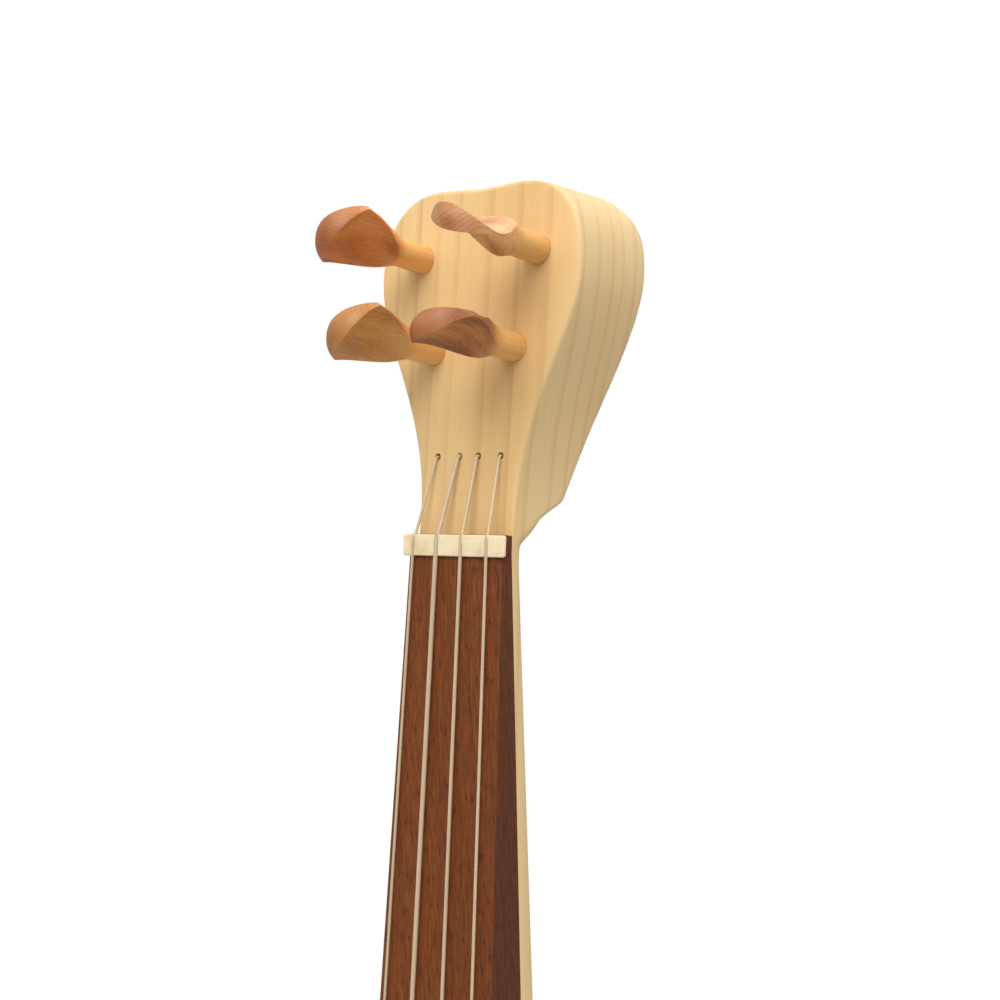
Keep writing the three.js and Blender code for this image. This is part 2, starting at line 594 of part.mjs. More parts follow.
// ---- bridge, tailpiece and what holds it ----
function bridge() {
  const top = fromHead(...stringPoints(STRINGS[0], 0).bridge)[2] + 0.6;
  const shape = new THREE.Shape();
  shape.moveTo(-34, GLUE_GAP).lineTo(-15, GLUE_GAP).quadraticCurveTo(-15, 10, 0, 10.5);
  shape.quadraticCurveTo(15, 10, 15, GLUE_GAP).lineTo(34, GLUE_GAP).lineTo(34, 4);
  shape.quadraticCurveTo(25, 10, 27, 20).quadraticCurveTo(31, 28, 29.5, top - 2);
  shape.quadraticCurveTo(0, top + 1.4, -29.5, top - 2);
  shape.quadraticCurveTo(-31, 28, -27, 20).quadraticCurveTo(-25, 10, -34, 4);
  const heart = new THREE.Path();
  heart.absellipse(0, 24, 5, 6.5, 0, 2 * Math.PI, true);
  shape.holes.push(heart);
  for (const side of [-1, 1]) {
    const eye = new THREE.Path();
    eye.absellipse(side * 18, 17, 3.6, 3.6, 0, 2 * Math.PI, true);
    shape.holes.push(eye);
  }
  const g = new THREE.ExtrudeGeometry(shape, { depth: 9, bevelEnabled: false, curveSegments: 8 });
  const upright = new THREE.Matrix4().makeBasis(
    new THREE.Vector3(1, 0, 0), new THREE.Vector3(0, 0, 1), new THREE.Vector3(0, -1, 0));
  const slab = solid(g, moved(0, BRIDGE_Y + 4.5, 0).multiply(upright));
  const taper = [[BRIDGE_Y - 3.5, -5], [BRIDGE_Y + 3.5, -5], [BRIDGE_Y + 1.2, 60], [BRIDGE_Y - 1.2, 60]];
  const slots = STRINGS.map((s, i) => cord([0, 1, 2].map((k) => {
    const p = stringPoints(s, i);
    return fromHead(...[p.tail, p.bridge, p.nut][k]);
  }), s.radius + STRING_GAP, 8));
  return slab.intersect(sidePlate(taper, -60, 60)).subtract(wasm.Manifold.union(slots));
}

// The tailpiece's own frame: y runs up its length from its lower end, z = 0 is its underside.
const TAIL = { length: 78, low: BODY_BOTTOM + 16, height: 7, tilt: 0.2, thick: 5, hole: 69 };
const tailTilt = new THREE.Matrix4().makeRotationX(TAIL.tilt);
const tailMatrix = () => moved(0, TAIL.low, TAIL.height).multiply(tailTilt);
const tailHoleX = (s) => s.bridge * 0.72; // the strings draw together towards the tailpiece
// Where a string leaves the tailpiece's upper face, in the head frame.
function tailPoint(s) {
  const p = new THREE.Vector3(tailHoleX(s), TAIL.hole, TAIL.thick + s.radius + STRING_GAP);
  p.applyMatrix4(tailMatrix()).applyMatrix4(new THREE.Matrix4().fromArray(bodyToHead()));
  return [p.x, p.y, p.z];
}

function tailpiece() {
  const shape = new THREE.Shape();
  shape.moveTo(-9, 0).quadraticCurveTo(0, -2, 9, 0).quadraticCurveTo(12, 30, 22, TAIL.length - 3);
  shape.quadraticCurveTo(0, TAIL.length + 3, -22, TAIL.length - 3).quadraticCurveTo(-12, 30, -9, 0);
  let body = plate(shape, 0, TAIL.thick, 8);
  for (const s of STRINGS) body = body.subtract(rod(1.3, -1, TAIL.thick + 1, 10, tailHoleX(s), TAIL.hole));
  for (const x of [-5, 5]) body = body.subtract(rod(1.5, -1, TAIL.thick + 1, 10, x, 7));
  return body.transform(tailMatrix().elements);
}

// Knots that stop the strings behind the tailpiece's holes.
function knot(s) {
  const radius = 2.1;
  const ball = new THREE.IcosahedronGeometry(radius, 1);
  return solid(ball, tailMatrix().multiply(moved(tailHoleX(s), TAIL.hole, -radius - GLUE_GAP)));
}

const GUT = 1.1;
// The loop of gut: from the tailpiece's two holes, over the saddle and round the button.
function tailGut() {
  const y = BODY_BOTTOM - 2.4;
  const loop = BUTTON_STEM + GUT + STRING_GAP;
  const right = [
    [5, TAIL.low + 7, 5.4], [5, TAIL.low - 4, 5.0], [5.3, BODY_BOTTOM + 3.5, SADDLE_TOP + GUT + 0.7],
    [5.6, BODY_BOTTOM - 1.2, SADDLE_TOP - 0.6], [5.9, y, -4], [loop, y, -12], [loop, y, -BUTTON_DEPTH],
    [loop * 0.72, y, -BUTTON_DEPTH - loop * 0.72], [0, y, -BUTTON_DEPTH - loop],
  ];
  const left = right.slice(0, -1).map(([x, ...rest]) => [-x, ...rest]).reverse();
  const curve = new THREE.CatmullRomCurve3([...right, ...left].map((p) => new THREE.Vector3(...p)));
  const path = new THREE.CurvePath();
  const points = curve.getPoints(48);
  for (let i = 0; i < 48; i += 1) path.add(new THREE.LineCurve3(points[i], points[i + 1]));
  return tube(path, GUT, 8);
}

function saddle() {
  const [low, high] = [BODY_BOTTOM + 0.4, SADDLE_HIGH];
  const side = [
    [low, RIM + 0.5], [high, RIM + 0.5], [high, SADDLE_TOP - 1], [high - 1.2, SADDLE_TOP],
    [low + 1.6, SADDLE_TOP], [low, SADDLE_TOP - 1.6],
  ];
  return sidePlate(side, -SADDLE_HALF, SADDLE_HALF);
}

const BUTTON_STEM = 4.2;
const BUTTON_IN = 30;
// Both turned about an axis that runs up the instrument, behind the soundboard.
function upright(profile, sides) {
  const g = new THREE.LatheGeometry(profile.map(([r, y]) => new THREE.Vector2(r, y)), sides);
  return solid(g, moved(0, 0, -BUTTON_DEPTH));
}
function endButton() {
  return upright([
    [0, 0], [6.5, 0], [7.8, 0.8], [8, 2.4], [7.2, 4.2], [5.2, 5.4], [BUTTON_STEM, 6.4],
    [BUTTON_STEM, BODY_BOTTOM - 0.4], [3.6, BODY_BOTTOM + 1], [3.2, BUTTON_IN], [0, BUTTON_IN],
  ], 24);
}
const buttonHole = () => upright([
  [0, -5], [4.6, -5], [4.6, BODY_BOTTOM + 0.6], [3.9, BODY_BOTTOM + 1], [3.5, 60], [0, 60],
], 24);

// ---- assembly ----
function place(frame, name, manifold, material) {
  const mesh = new THREE.Mesh(geometryOf(manifold), material);
  mesh.name = name;
  frame.add(mesh);
  return mesh;
}

place(headFrame, "neck_and_head", neckAndHead(), MAPLE);
place(headFrame, "fingerboard", fingerboard(), ROSEWOOD);
place(headFrame, "nut", nut(), BONE);
STRINGS.forEach((s, i) => place(headFrame, `string_${i + 1}`, string(s, i), NYLON));
STRINGS.forEach((s, i) => place(bodyFrame, `string_knot_${i + 1}`, knot(s), NYLON));
PEGS.forEach((p, i) => {
  const axis = new THREE.Group();
  axis.position.set(p.x, p.y, 0);
  axis.rotation.z = THREE.MathUtils.degToRad(p.turn);
  headFrame.add(axis);
  place(axis, p.name, peg(), PLUM).position.z = p.out;
  place(axis, `string_winding_${i + 1}`, winding(STRINGS[i].radius, p.winding), NYLON);
});
place(bodyFrame, "back_shell", backShell(), MAPLE);
place(bodyFrame, "soundboard", soundboard(), SPRUCE);
place(bodyFrame, "neck_block", neckBlock(), SPRUCE);
place(bodyFrame, "end_block", endBlock(), SPRUCE);
place(bodyFrame, "lining_left", lining(-1), SPRUCE);
place(bodyFrame, "lining_right", lining(1), SPRUCE);
place(bodyFrame, "brace_upper", crossBrace(JOINT_Y - 70), SPRUCE);
place(bodyFrame, "brace_lower", crossBrace(BODY_BOTTOM + 44), SPRUCE);
place(bodyFrame, "bass_bar", bassBar(), SPRUCE);
place(bodyFrame, "sound_post", soundPost(), SPRUCE);
place(bodyFrame, "bridge", bridge(), MAPLE);
place(bodyFrame, "tailpiece", tailpiece(), ROSEWOOD);
place(bodyFrame, "tail_gut", tailGut(), NYLON);
place(bodyFrame, "saddle", saddle(), BONE);
place(bodyFrame, "end_button", endButton(), ROSEWOOD);

const lute = new THREE.Group();
lute.add(bodyFrame);
export default lute;
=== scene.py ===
# The looks of a four-string, fretless, pear-shaped lute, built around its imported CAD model.
# Lengths in the shape code are millimetres, in the two working frames of the design: x is the viewer's
# right, y runs up the instrument and z comes out of its front.
#   body frame: z = 0 is the soundboard's and the neck's top, y = 0 is the end button's end
#   head frame: z = 0 is the head's face, which leans back, and y = 0 is the nut
import math

import bmesh
import bpy
import numpy as np
from mathutils import Matrix, Vector


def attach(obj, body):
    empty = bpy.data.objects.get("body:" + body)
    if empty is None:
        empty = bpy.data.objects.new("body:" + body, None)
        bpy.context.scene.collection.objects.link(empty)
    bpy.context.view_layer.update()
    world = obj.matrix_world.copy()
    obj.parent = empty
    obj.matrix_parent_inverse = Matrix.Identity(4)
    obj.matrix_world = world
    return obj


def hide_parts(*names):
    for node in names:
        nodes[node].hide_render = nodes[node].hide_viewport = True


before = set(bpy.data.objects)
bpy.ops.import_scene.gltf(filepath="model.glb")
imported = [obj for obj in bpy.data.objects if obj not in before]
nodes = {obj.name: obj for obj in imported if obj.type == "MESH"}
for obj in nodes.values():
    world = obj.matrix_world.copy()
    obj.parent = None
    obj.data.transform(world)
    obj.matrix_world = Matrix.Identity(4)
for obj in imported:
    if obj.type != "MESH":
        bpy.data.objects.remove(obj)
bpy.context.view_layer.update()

# ---- driving dimensions, in millimetres ----
MM = 0.001
LEAN = math.radians(4.48)
BUTTON_DEPTH = 24
BODY_BOTTOM = 12
BODY_LENGTH = 352
BODY_HALF_WIDTH = 108
BODY_DEPTH = 58
WIDEST_Y = BODY_BOTTOM + 124
SHELL = 4
JOINT_Y = BODY_BOTTOM + BODY_LENGTH
NECK_LENGTH = 205
NUT_Y = JOINT_Y + NECK_LENGTH
STRING_LENGTH = 430
BRIDGE_Y = NUT_Y - STRING_LENGTH
TOP_THICKNESS = 3
GLUE_GAP = 0.2
STRING_GAP = 0.3
NECK_HALF_WIDTH = 18.26
NECK_FLARE = 0.025
NECK_DEPTH = 14.3
NECK_DEEPEN = 0.05
HEAD_THICKNESS = 42.3
HEAD_TOP = 118
HEAD_WALL = 7
FACE_PLATE = 9
BOARD_THICKNESS = 5
BOARD_LENGTH = 292
PEG_SHAFT = 4.6
PEG_TIP = 47.6
PEG_TAIL = -26
PEG_TAIL_RADIUS = 3.8
WINDING_HALF = 2.4
PEG_CLEARANCE = 0.06
STRING_HOLE_Y = 31
STRING_HOLE_RADIUS = 1.15
STRING_OVER_BOARD = 1.35
STRING_RISE = 0.0035

# Each peg: its name, its hole's x and y on the head's face, how far it is pulled out, the degrees that it is
# turned at rest, and the height of its string's turns.
PEGS = [
    ("lower_left", -15.75, 65.4, 1, 43, -20),
    ("upper_left", -22.2, 96, 1, 40, -13.6),
    ("upper_right", 23.1, 95.3, 1, -22, -13.6),
    ("lower_right", 15.7, 65.1, -1, 17, -20),
]
# Each string: radius, place on the nut and on the bridge, hole in the head.
STRINGS = [
    (0.45, -15.6, -22.6, -12.3),
    (0.75, -6.5, -8.4, -3.65),
    (0.58, 3.1, 6.9, 3.65),
    (0.5, 12.9, 20.8, 12.3),
]

# World directions: to the viewer's right, up, up the head's face and out of it, and the two directions in
# which the boards' growth rings follow each other.
SIDEWAYS = (1, 0, 0)
UP = (0, 0, 1)
UP_FACE = (0, math.sin(LEAN), math.cos(LEAN))
OUT_FACE = (0, -math.cos(LEAN), math.sin(LEAN))
SLAB = (0.62, 0.78, 0)
HEAD_SLAB = (0.62, 0.78 * math.cos(LEAN), -0.78 * math.sin(LEAN))

UPRIGHT = Matrix.Rotation(math.pi / 2, 4, "X")
BODY = Matrix.Translation((0, -BUTTON_DEPTH * MM, 0)) @ UPRIGHT @ Matrix.Scale(MM, 4)
HEAD_IN_BODY = Matrix.Translation((0, NUT_Y, 0)) @ Matrix.Rotation(-LEAN, 4, "X")
HEAD = BODY @ HEAD_IN_BODY


# ---- shape helpers ----
def lerp(a, b, t):
    return a + (b - a) * t


def clamp(t):
    return min(max(t, 0), 1)


def rise(t):
    """An S-shaped rise from 0 to 1."""
    return clamp(t) ** 2 * (3 - 2 * clamp(t))


def rounding(t, exponent):
    """A rounded fall from 1 to 0: a quarter of a superellipse."""
    return (1 - clamp(t) ** exponent) ** (1 / exponent)


def smooth(points):
    """A smooth curve through points, as a function from the first coordinate to the second."""

    def curve(at):
        if at <= points[0][0]:
            return points[0][1]
        if at >= points[-1][0]:
            return points[-1][1]
        i = next(k for k, p in enumerate(points) if p[0] > at) - 1
        a, b = points[i], points[i + 1]
        before, after = points[max(i - 1, 0)], points[min(i + 2, len(points) - 1)]
        span = b[0] - a[0]
        slope_a = (b[1] - before[1]) / (b[0] - before[0])
        slope_b = (after[1] - a[1]) / (after[0] - a[0])
        t = (at - a[0]) / span
        return (
            (2 * t**3 - 3 * t**2 + 1) * a[1]
            + (t**3 - 2 * t**2 + t) * span * slope_a
            + (3 * t**2 - 2 * t**3) * b[1]
            + (t**3 - t**2) * span * slope_b
        )

    return curve


def spread(low, high, count):
    return [lerp(low, high, i / count) for i in range(count + 1)]


def resample(points, count):
    """The same open line of 2-D points, as count + 1 points at even distances along it."""
    line = np.array(points, float)
    run = np.concatenate([[0], np.cumsum(np.linalg.norm(np.diff(line, axis=0), axis=1))])
    at = np.linspace(0, run[-1], count + 1)
    return np.stack([np.interp(at, run, line[:, 0]), np.interp(at, run, line[:, 1])], 1)


def make(name, vertices, faces, matrix=BODY, sharp=35):
    """A mesh object from points of a working frame, smooth except at edges sharper than the angle."""
    mesh = bpy.data.meshes.new(name)
    mesh.from_pydata([matrix @ Vector(v) for v in vertices], [], faces)
    made = bpy.data.objects.new(name, mesh)
    bpy.context.collection.objects.link(made)
    return finish_mesh(made, sharp)


def finish_mesh(made, sharp=35):
    bm = bmesh.new()
    bm.from_mesh(made.data)
    bmesh.ops.remove_doubles(bm, verts=bm.verts, dist=2e-6)
    bmesh.ops.dissolve_degenerate(bm, edges=bm.edges, dist=1e-6)
    bmesh.ops.recalc_face_normals(bm, faces=bm.faces)
    for face in bm.faces:
        face.smooth = True
    for edge in bm.edges:
        edge.smooth = edge.calc_face_angle(0) < math.radians(sharp)
    bm.to_mesh(made.data)
    bm.free()
    return made


def skin(name, rings, matrix=BODY, sharp=35):
    """Joins rings of points into a body with flat ends."""
    count = len(rings[0])
    vertices = [tuple(p) for ring in rings for p in ring]
    faces = []
    for r in range(len(rings) - 1):
        for k in range(count):
            n = (k + 1) % count
            faces.append((r * count + k, r * count + n, (r + 1) * count + n, (r + 1) * count + k))
    faces.append(tuple(range(count - 1, -1, -1)))
    faces.append(tuple(range((len(rings) - 1) * count, len(rings) * count)))
    return make(name, vertices, faces, matrix, sharp)


RIM_ANGLE = 1.2  # radians: an edge that turns more than this is a rim


def plate(name, outline, low, high, matrix=BODY, bevel=0.0, steps=3, holes=()):
    """An outline in the x-y plane with a thickness along z, with its rim edges rounded when a bevel is given.
    """
    bm = bmesh.new()
    edges = []
    for loop in [outline, *holes]:
        ring = [bm.verts.new((x, y, low)) for x, y in loop]
        edges += [bm.edges.new((ring[i], ring[(i + 1) % len(ring)])) for i in range(len(ring))]
    filled = bmesh.ops.triangle_fill(bm, use_beauty=True, use_dissolve=True, edges=edges)
    flat = [g for g in filled["geom"] if isinstance(g, bmesh.types.BMFace)]
    grown = bmesh.ops.extrude_face_region(bm, geom=flat, use_keep_orig=True)
    for v in [g for g in grown["geom"] if isinstance(g, bmesh.types.BMVert)]:
        v.co.z = high
    bmesh.ops.recalc_face_normals(bm, faces=bm.faces)
    if bevel > 0:
        level = [e for e in bm.edges if abs(e.verts[0].co.z - e.verts[1].co.z) < 1e-6]
        rims = [e for e in level if e.calc_face_angle(0) > RIM_ANGLE]
        bmesh.ops.bevel(
            bm, geom=rims, offset=bevel, segments=steps, profile=0.5, affect="EDGES", clamp_overlap=True
        )
    bm.transform(matrix)
    mesh = bpy.data.meshes.new(name)
    bm.to_mesh(mesh)
    bm.free()
    made = bpy.data.objects.new(name, mesh)
    bpy.context.collection.objects.link(made)
    return finish_mesh(made)


def circle(x, y, rx, ry, sides=48):
    turns = [2 * math.pi * k / sides for k in range(sides)]
    return [(x + rx * math.cos(t), y + ry * math.sin(t)) for t in turns]


def bow(a, b, c, steps=16):
    """Points of a quadratic curve from a past b to c, without its last point."""
    at = [i / steps for i in range(steps)]
    return [
        tuple((1 - t) ** 2 * a[k] + 2 * t * (1 - t) * b[k] + t * t * c[k] for k in range(2)) for t in at
    ]


def turned(name, profile, matrix, sides=96, sharp=35):
    """A turned piece about the z axis, from (radius, z) points between its two ends."""
    turns = [2 * math.pi * k / sides for k in range(sides)]
    rings = [[(r * math.cos(t), r * math.sin(t), z) for t in turns] for r, z in profile]
    return skin(name, rings, matrix, sharp)


def tube(name, points, radius, sides=20, matrix=BODY):
    """A round cord through points, with flat ends."""
    spine = [Vector(p) for p in points]
    side = Vector((1, 0, 0))
    rings = []
    for i, p in enumerate(spine):
        along = (spine[min(i + 1, len(spine) - 1)] - spine[max(i - 1, 0)]).normalized()
        if abs(side.dot(along)) > 0.98:
            side = Vector((0, 1, 0))
        side = (side - along * side.dot(along)).normalized()
        up = along.cross(side)
        turns = [2 * math.pi * k / sides for k in range(sides)]
        rings.append([p + side * radius * math.cos(t) + up * radius * math.sin(t) for t in turns])
    return skin(name, rings, matrix, sharp=60)


def rounded(points, bend, steps=6):
    """A route of straight runs with a round bend at each inner point."""
    at = [Vector(p) for p in points]
    route = [at[0]]
    for before, corner, after in zip(at, at[1:], at[2:]):
        start = corner + (before - corner).normalized() * bend
        end = corner + (after - corner).normalized() * bend
        for k in range(steps + 1):
            t = k / steps
            route.append(start * (1 - t) ** 2 + corner * 2 * t * (1 - t) + end * t * t)
    return [*route, at[-1]]


def cut(made, cutters, sharp=35):
    """Cuts the cutters, which are then removed, out of an object."""
    for cutter in cutters:
        change = made.modifiers.new("cut", "BOOLEAN")
        change.operation = "DIFFERENCE"
        change.solver = "EXACT"
        change.object = cutter
        bpy.context.view_layer.update()
        done = bpy.data.meshes.new_from_object(made.evaluated_get(bpy.context.evaluated_depsgraph_get()))
        made.modifiers.remove(change)
        made.data = done
        bpy.data.objects.remove(cutter)
    return finish_mesh(made, sharp)


# ---- camera ----
def add_camera():
    data = bpy.data.cameras.new("camera")
    data.sensor_width = 36
    data.lens = 56.9
    camera = bpy.data.objects.new("camera", data)
    camera.location = (0.29465, -0.42812, 0.58603)
    camera.rotation_euler = (math.pi / 2, 0, math.radians(34.80))
    bpy.context.collection.objects.link(camera)
    bpy.context.scene.camera = camera


add_camera()


# ---- materials ----
MAP_ENDS = ("From Min", "From Max", "To Min", "To Max")


class Nodes:
    """Short words for building a material's node tree."""

    def __init__(self, name):
        self.material = bpy.data.materials.new(name)
        self.material.use_nodes = True
        self.tree = self.material.node_tree
        self.shader = self.tree.nodes["Principled BSDF"]
        self.place = self.add("ShaderNodeTexCoord").outputs["Object"]

    def add(self, kind, **settings):
        node = self.tree.nodes.new(kind)
        for key, value in settings.items():
            setattr(node, key, value)
        return node

    def feed(self, socket, value):
        if isinstance(value, bpy.types.NodeSocket):
            self.tree.links.new(value, socket)
        else:
            socket.default_value = value

    def scaled(self, scale, source=None):
        node = self.add("ShaderNodeMapping")
        self.feed(node.inputs["Vector"], source or self.place)
        node.inputs["Scale"].default_value = scale
        return node.outputs["Vector"]

    def point(self, *values):
        node = self.add("ShaderNodeCombineXYZ")
        for socket, value in zip(node.inputs, values):
            self.feed(socket, value)
        return node.outputs["Vector"]

    def noise(self, where, detail=3.0, rough=0.5):
        node = self.add("ShaderNodeTexNoise")
        self.feed(node.inputs["Vector"], where)
        node.inputs["Scale"].default_value = 1.0
        node.inputs["Detail"].default_value = detail
        node.inputs["Roughness"].default_value = rough
        return node.outputs["Fac"]

    def math(self, kind, a, b=0.0):
        node = self.add("ShaderNodeMath", operation=kind)
        self.feed(node.inputs[0], a)
        self.feed(node.inputs[1], b)
        return node.outputs[0]

    def times(self, a, b):
        return self.math("MULTIPLY", a, b)

    def plus(self, a, b):
        return self.math("ADD", a, b)

    def span(self, value, low, high, to_low=0.0, to_high=1.0):
        node = self.add("ShaderNodeMapRange")
        self.feed(node.inputs["Value"], value)
        for key, number in zip(MAP_ENDS, (low, high, to_low, to_high)):
            node.inputs[key].default_value = number
        return node.outputs["Result"]

    def ramp(self, value, stops):
        node = self.add("ShaderNodeValToRGB")
        self.feed(node.inputs["Fac"], value)
        band = node.color_ramp
        while len(band.elements) < len(stops):
            band.elements.new(0.5)
        for element, (at, colour) in zip(band.elements, stops):
            element.position = at
            element.color = (*colour, 1)
        return node.outputs["Color"]

    def mix(self, share, a, b, blend="MIX"):
        node = self.add("ShaderNodeMix", data_type="RGBA", blend_type=blend)
        self.feed(node.inputs[0], share)
        self.feed(node.inputs[6], a)
        self.feed(node.inputs[7], b)
        return node.outputs[2]

    def along(self, source, direction):
        """How far a point or normal lies along a direction."""
        node = self.add("ShaderNodeVectorMath", operation="DOT_PRODUCT")
        self.feed(node.inputs[0], source)
        node.inputs[1].default_value = direction
        return node.outputs["Value"]

    def bump(self, height, strength, distance):
        node = self.add("ShaderNodeBump")
        self.feed(node.inputs["Height"], height)
        node.inputs["Strength"].default_value = strength
        node.inputs["Distance"].default_value = distance
        self.feed(self.shader.inputs["Normal"], node.outputs["Normal"])


def linear(red, green, blue):
    """A screen colour, 0 to 255, as the linear colour that a shader takes."""

    def one(value):
        share = value / 255
        return share / 12.92 if share <= 0.04045 else ((share + 0.055) / 1.055) ** 2.4

    return (one(red), one(green), one(blue))


def wood(name, pale, mid, dark, line, across=SLAB, along=UP, sway=0.002, rings=190, uneven=4.0,
         ring_depth=0.5, fibre=(1700, 45), fibres=0.35, flecks=0.0, side_light_and_shade=None, rough=(0.42, 0.56),
         bump=0.1, coat=0.0):
    """Straight-grained wood. Its growth rings are nearly flat sheets, which run along the grain and lie at
    uneven distances in the direction across it."""
    n = Nodes(name)
    q = n.along(n.place, across)
    run = n.along(n.place, along)
    wave = n.noise(n.point(n.times(q, 16), n.times(run, 5), 0.0), detail=1.0)
    q = n.plus(q, n.times(n.math("SUBTRACT", wave, 0.5), sway))

    def streaks(fine, long, seed, detail=1.0, blur=0.5):
        return n.noise(n.point(n.times(q, fine), n.times(run, long), seed), detail=detail, rough=blur)

    broad = n.span(streaks(45, 2.0, 1.0), 0.25, 0.75)
    fine = n.span(streaks(*fibre, 5.0, detail=3.0, blur=0.6), 0.28, 0.72)
    tone = n.plus(n.times(broad, 1 - fibres), n.times(fine, fibres))
    colour = n.ramp(tone, [(0.15, dark), (0.5, mid), (0.85, pale)])
    ring = n.math("FRACT", n.plus(n.times(q, rings), n.times(streaks(45, 1.2, 9.0), uneven)))
    late = n.times(n.span(ring, 0.65, 0.9), n.span(ring, 1.0, 0.92))
    strength = n.span(streaks(110, 1.8, 13.0), 0.35, 0.65, 0.1, ring_depth)
    colour = n.mix(n.times(late, strength), colour, (*line, 1))
    if flecks > 0:
        dash = n.span(streaks(fibre[0] * 0.75, fibre[1] * 2.2, 17.0, detail=2.0), 0.56, 0.7, 0.0, flecks)
        colour = n.mix(dash, colour, (*[c * 0.45 for c in line], 1))
    # Painted light and shade: the colour of faces that look sideways is multiplied by side_light_and_shade.
    if side_light_and_shade:
        normal = n.tree.nodes["Texture Coordinate"].outputs["Normal"]
        side = n.span(n.math("ABSOLUTE", n.along(normal, SIDEWAYS)), 0.4, 0.8)
        side_with_light_and_shade = n.mix(1.0, colour, (*side_light_and_shade, 1), "MULTIPLY")
        colour = n.mix(side, colour, side_with_light_and_shade)
    n.feed(n.shader.inputs["Base Color"], colour)
    n.feed(n.shader.inputs["Roughness"], n.span(fine, 0, 1, rough[1], rough[0]))
    n.shader.inputs["Coat Weight"].default_value = coat
    n.shader.inputs["Coat Roughness"].default_value = 0.3
    n.shader.inputs["Specular IOR Level"].default_value = 0.3
    n.bump(fine, bump, 0.0001)
    return n.material


def peg_wood(name, seed, slant, shaft, pale, mid, dark, tip):
    """Oiled fruitwood whose growth rings run along the peg: pale on the shaft, darker and redder on the
    grip, with lined end grain on the tip."""
    n = Nodes(name)
    c, s = math.cos(slant), math.sin(slant)
    q = n.plus(n.along(n.place, (c, s * UP_FACE[1], s * UP_FACE[2])), seed)
    r = n.along(n.place, (-s, c * UP_FACE[1], c * UP_FACE[2]))
    out = n.along(n.place, OUT_FACE)

    def cloud(across, long, detail=1.0, blur=0.5):
        where = n.point(n.times(q, across), n.times(r, across), n.times(out, long))
        return n.noise(where, detail=detail, rough=blur)

    sway = cloud(55, 18)
    broad = n.span(cloud(130, 12), 0.3, 0.7)
    fine = n.span(cloud(1500, 55, detail=3.0, blur=0.6), 0.3, 0.7)
    bent = n.plus(q, n.times(n.math("SUBTRACT", sway, 0.5), 0.003))
    ring = n.math("FRACT", n.plus(n.times(bent, 800), n.times(cloud(170, 4), 2.0)))
    late = n.times(n.span(ring, 0.4, 0.85), n.span(ring, 1.0, 0.88))
    tone = n.plus(n.times(broad, 0.65), n.times(fine, 0.35))
    grip = n.ramp(tone, [(0.15, dark), (0.5, mid), (0.85, pale)])
    stem = n.ramp(tone, [(0.1, tuple(v * 0.8 for v in shaft)), (0.8, shaft)])
    start = n.math("SUBTRACT", out, BUTTON_DEPTH * MM * math.cos(LEAN) + NUT_Y * MM * math.sin(LEAN))
    reach = n.plus(start, n.times(n.math("SUBTRACT", sway, 0.5), 0.01))
    colour = n.mix(n.span(reach, 0.014, 0.022), stem, grip)
    colour = n.mix(n.times(late, 0.1), colour, (*[v * 0.6 for v in dark], 1))
    facing = n.along(n.tree.nodes["Texture Coordinate"].outputs["Normal"], OUT_FACE)
    end = n.span(facing, 0.3, 0.9)
    colour = n.mix(n.times(end, 0.6), colour, (*tip, 1))
    pore = n.plus(n.times(late, 0.6), n.times(n.span(fine, 0.5, 0.8), 0.4))
    colour = n.mix(n.times(n.times(end, pore), 0.28), colour, (*[v * 0.4 for v in tip], 1))
    n.feed(n.shader.inputs["Base Color"], colour)
    n.feed(n.shader.inputs["Roughness"], n.span(fine, 0, 1, 0.5, 0.38))
    n.shader.inputs["Specular IOR Level"].default_value = 0.4
    n.shader.inputs["Coat Weight"].default_value = 0.1
    n.shader.inputs["Coat Roughness"].default_value = 0.35
    n.bump(n.plus(fine, n.times(late, -0.5)), 0.12, 0.0001)
    return n.material


def bone():
    n = Nodes("bone")
    cloud = n.span(n.noise(n.scaled((160, 160, 160)), detail=3.0), 0.35, 0.7)
    streak = n.span(n.noise(n.scaled((200, 1400, 1400)), detail=2.0), 0.3, 0.75)
    tone = n.plus(n.times(cloud, 0.7), n.times(streak, 0.3))
    shades = [(0.1, linear(228, 204, 160)), (0.5, linear(244, 224, 184)), (0.9, linear(249, 233, 202))]
    colour = n.ramp(tone, shades)
    n.feed(n.shader.inputs["Base Color"], colour)
    n.feed(n.shader.inputs["Roughness"], n.span(cloud, 0, 1, 0.34, 0.24))
    n.shader.inputs["Subsurface Weight"].default_value = 0.25
    n.shader.inputs["Subsurface Radius"].default_value = (0.002, 0.0015, 0.001)
    n.shader.inputs["Subsurface Scale"].default_value = 0.6
    n.bump(streak, 0.05, 0.0001)
    return n.material


def nylon(name, colour, clear):
    """Drawn nylon: milky, partly clear, with faint draw marks along it."""
    n = Nodes(name)
    marks = n.noise(n.scaled((300, 300, 40)), detail=1.0)
    tint = n.ramp(marks, [(0.3, tuple(c * 0.96 for c in colour)), (0.7, colour)])
    n.feed(n.shader.inputs["Base Color"], tint)
    n.shader.inputs["Roughness"].default_value = 0.15
    n.shader.inputs["Transmission Weight"].default_value = clear
    n.shader.inputs["IOR"].default_value = 1.53
    return n.material


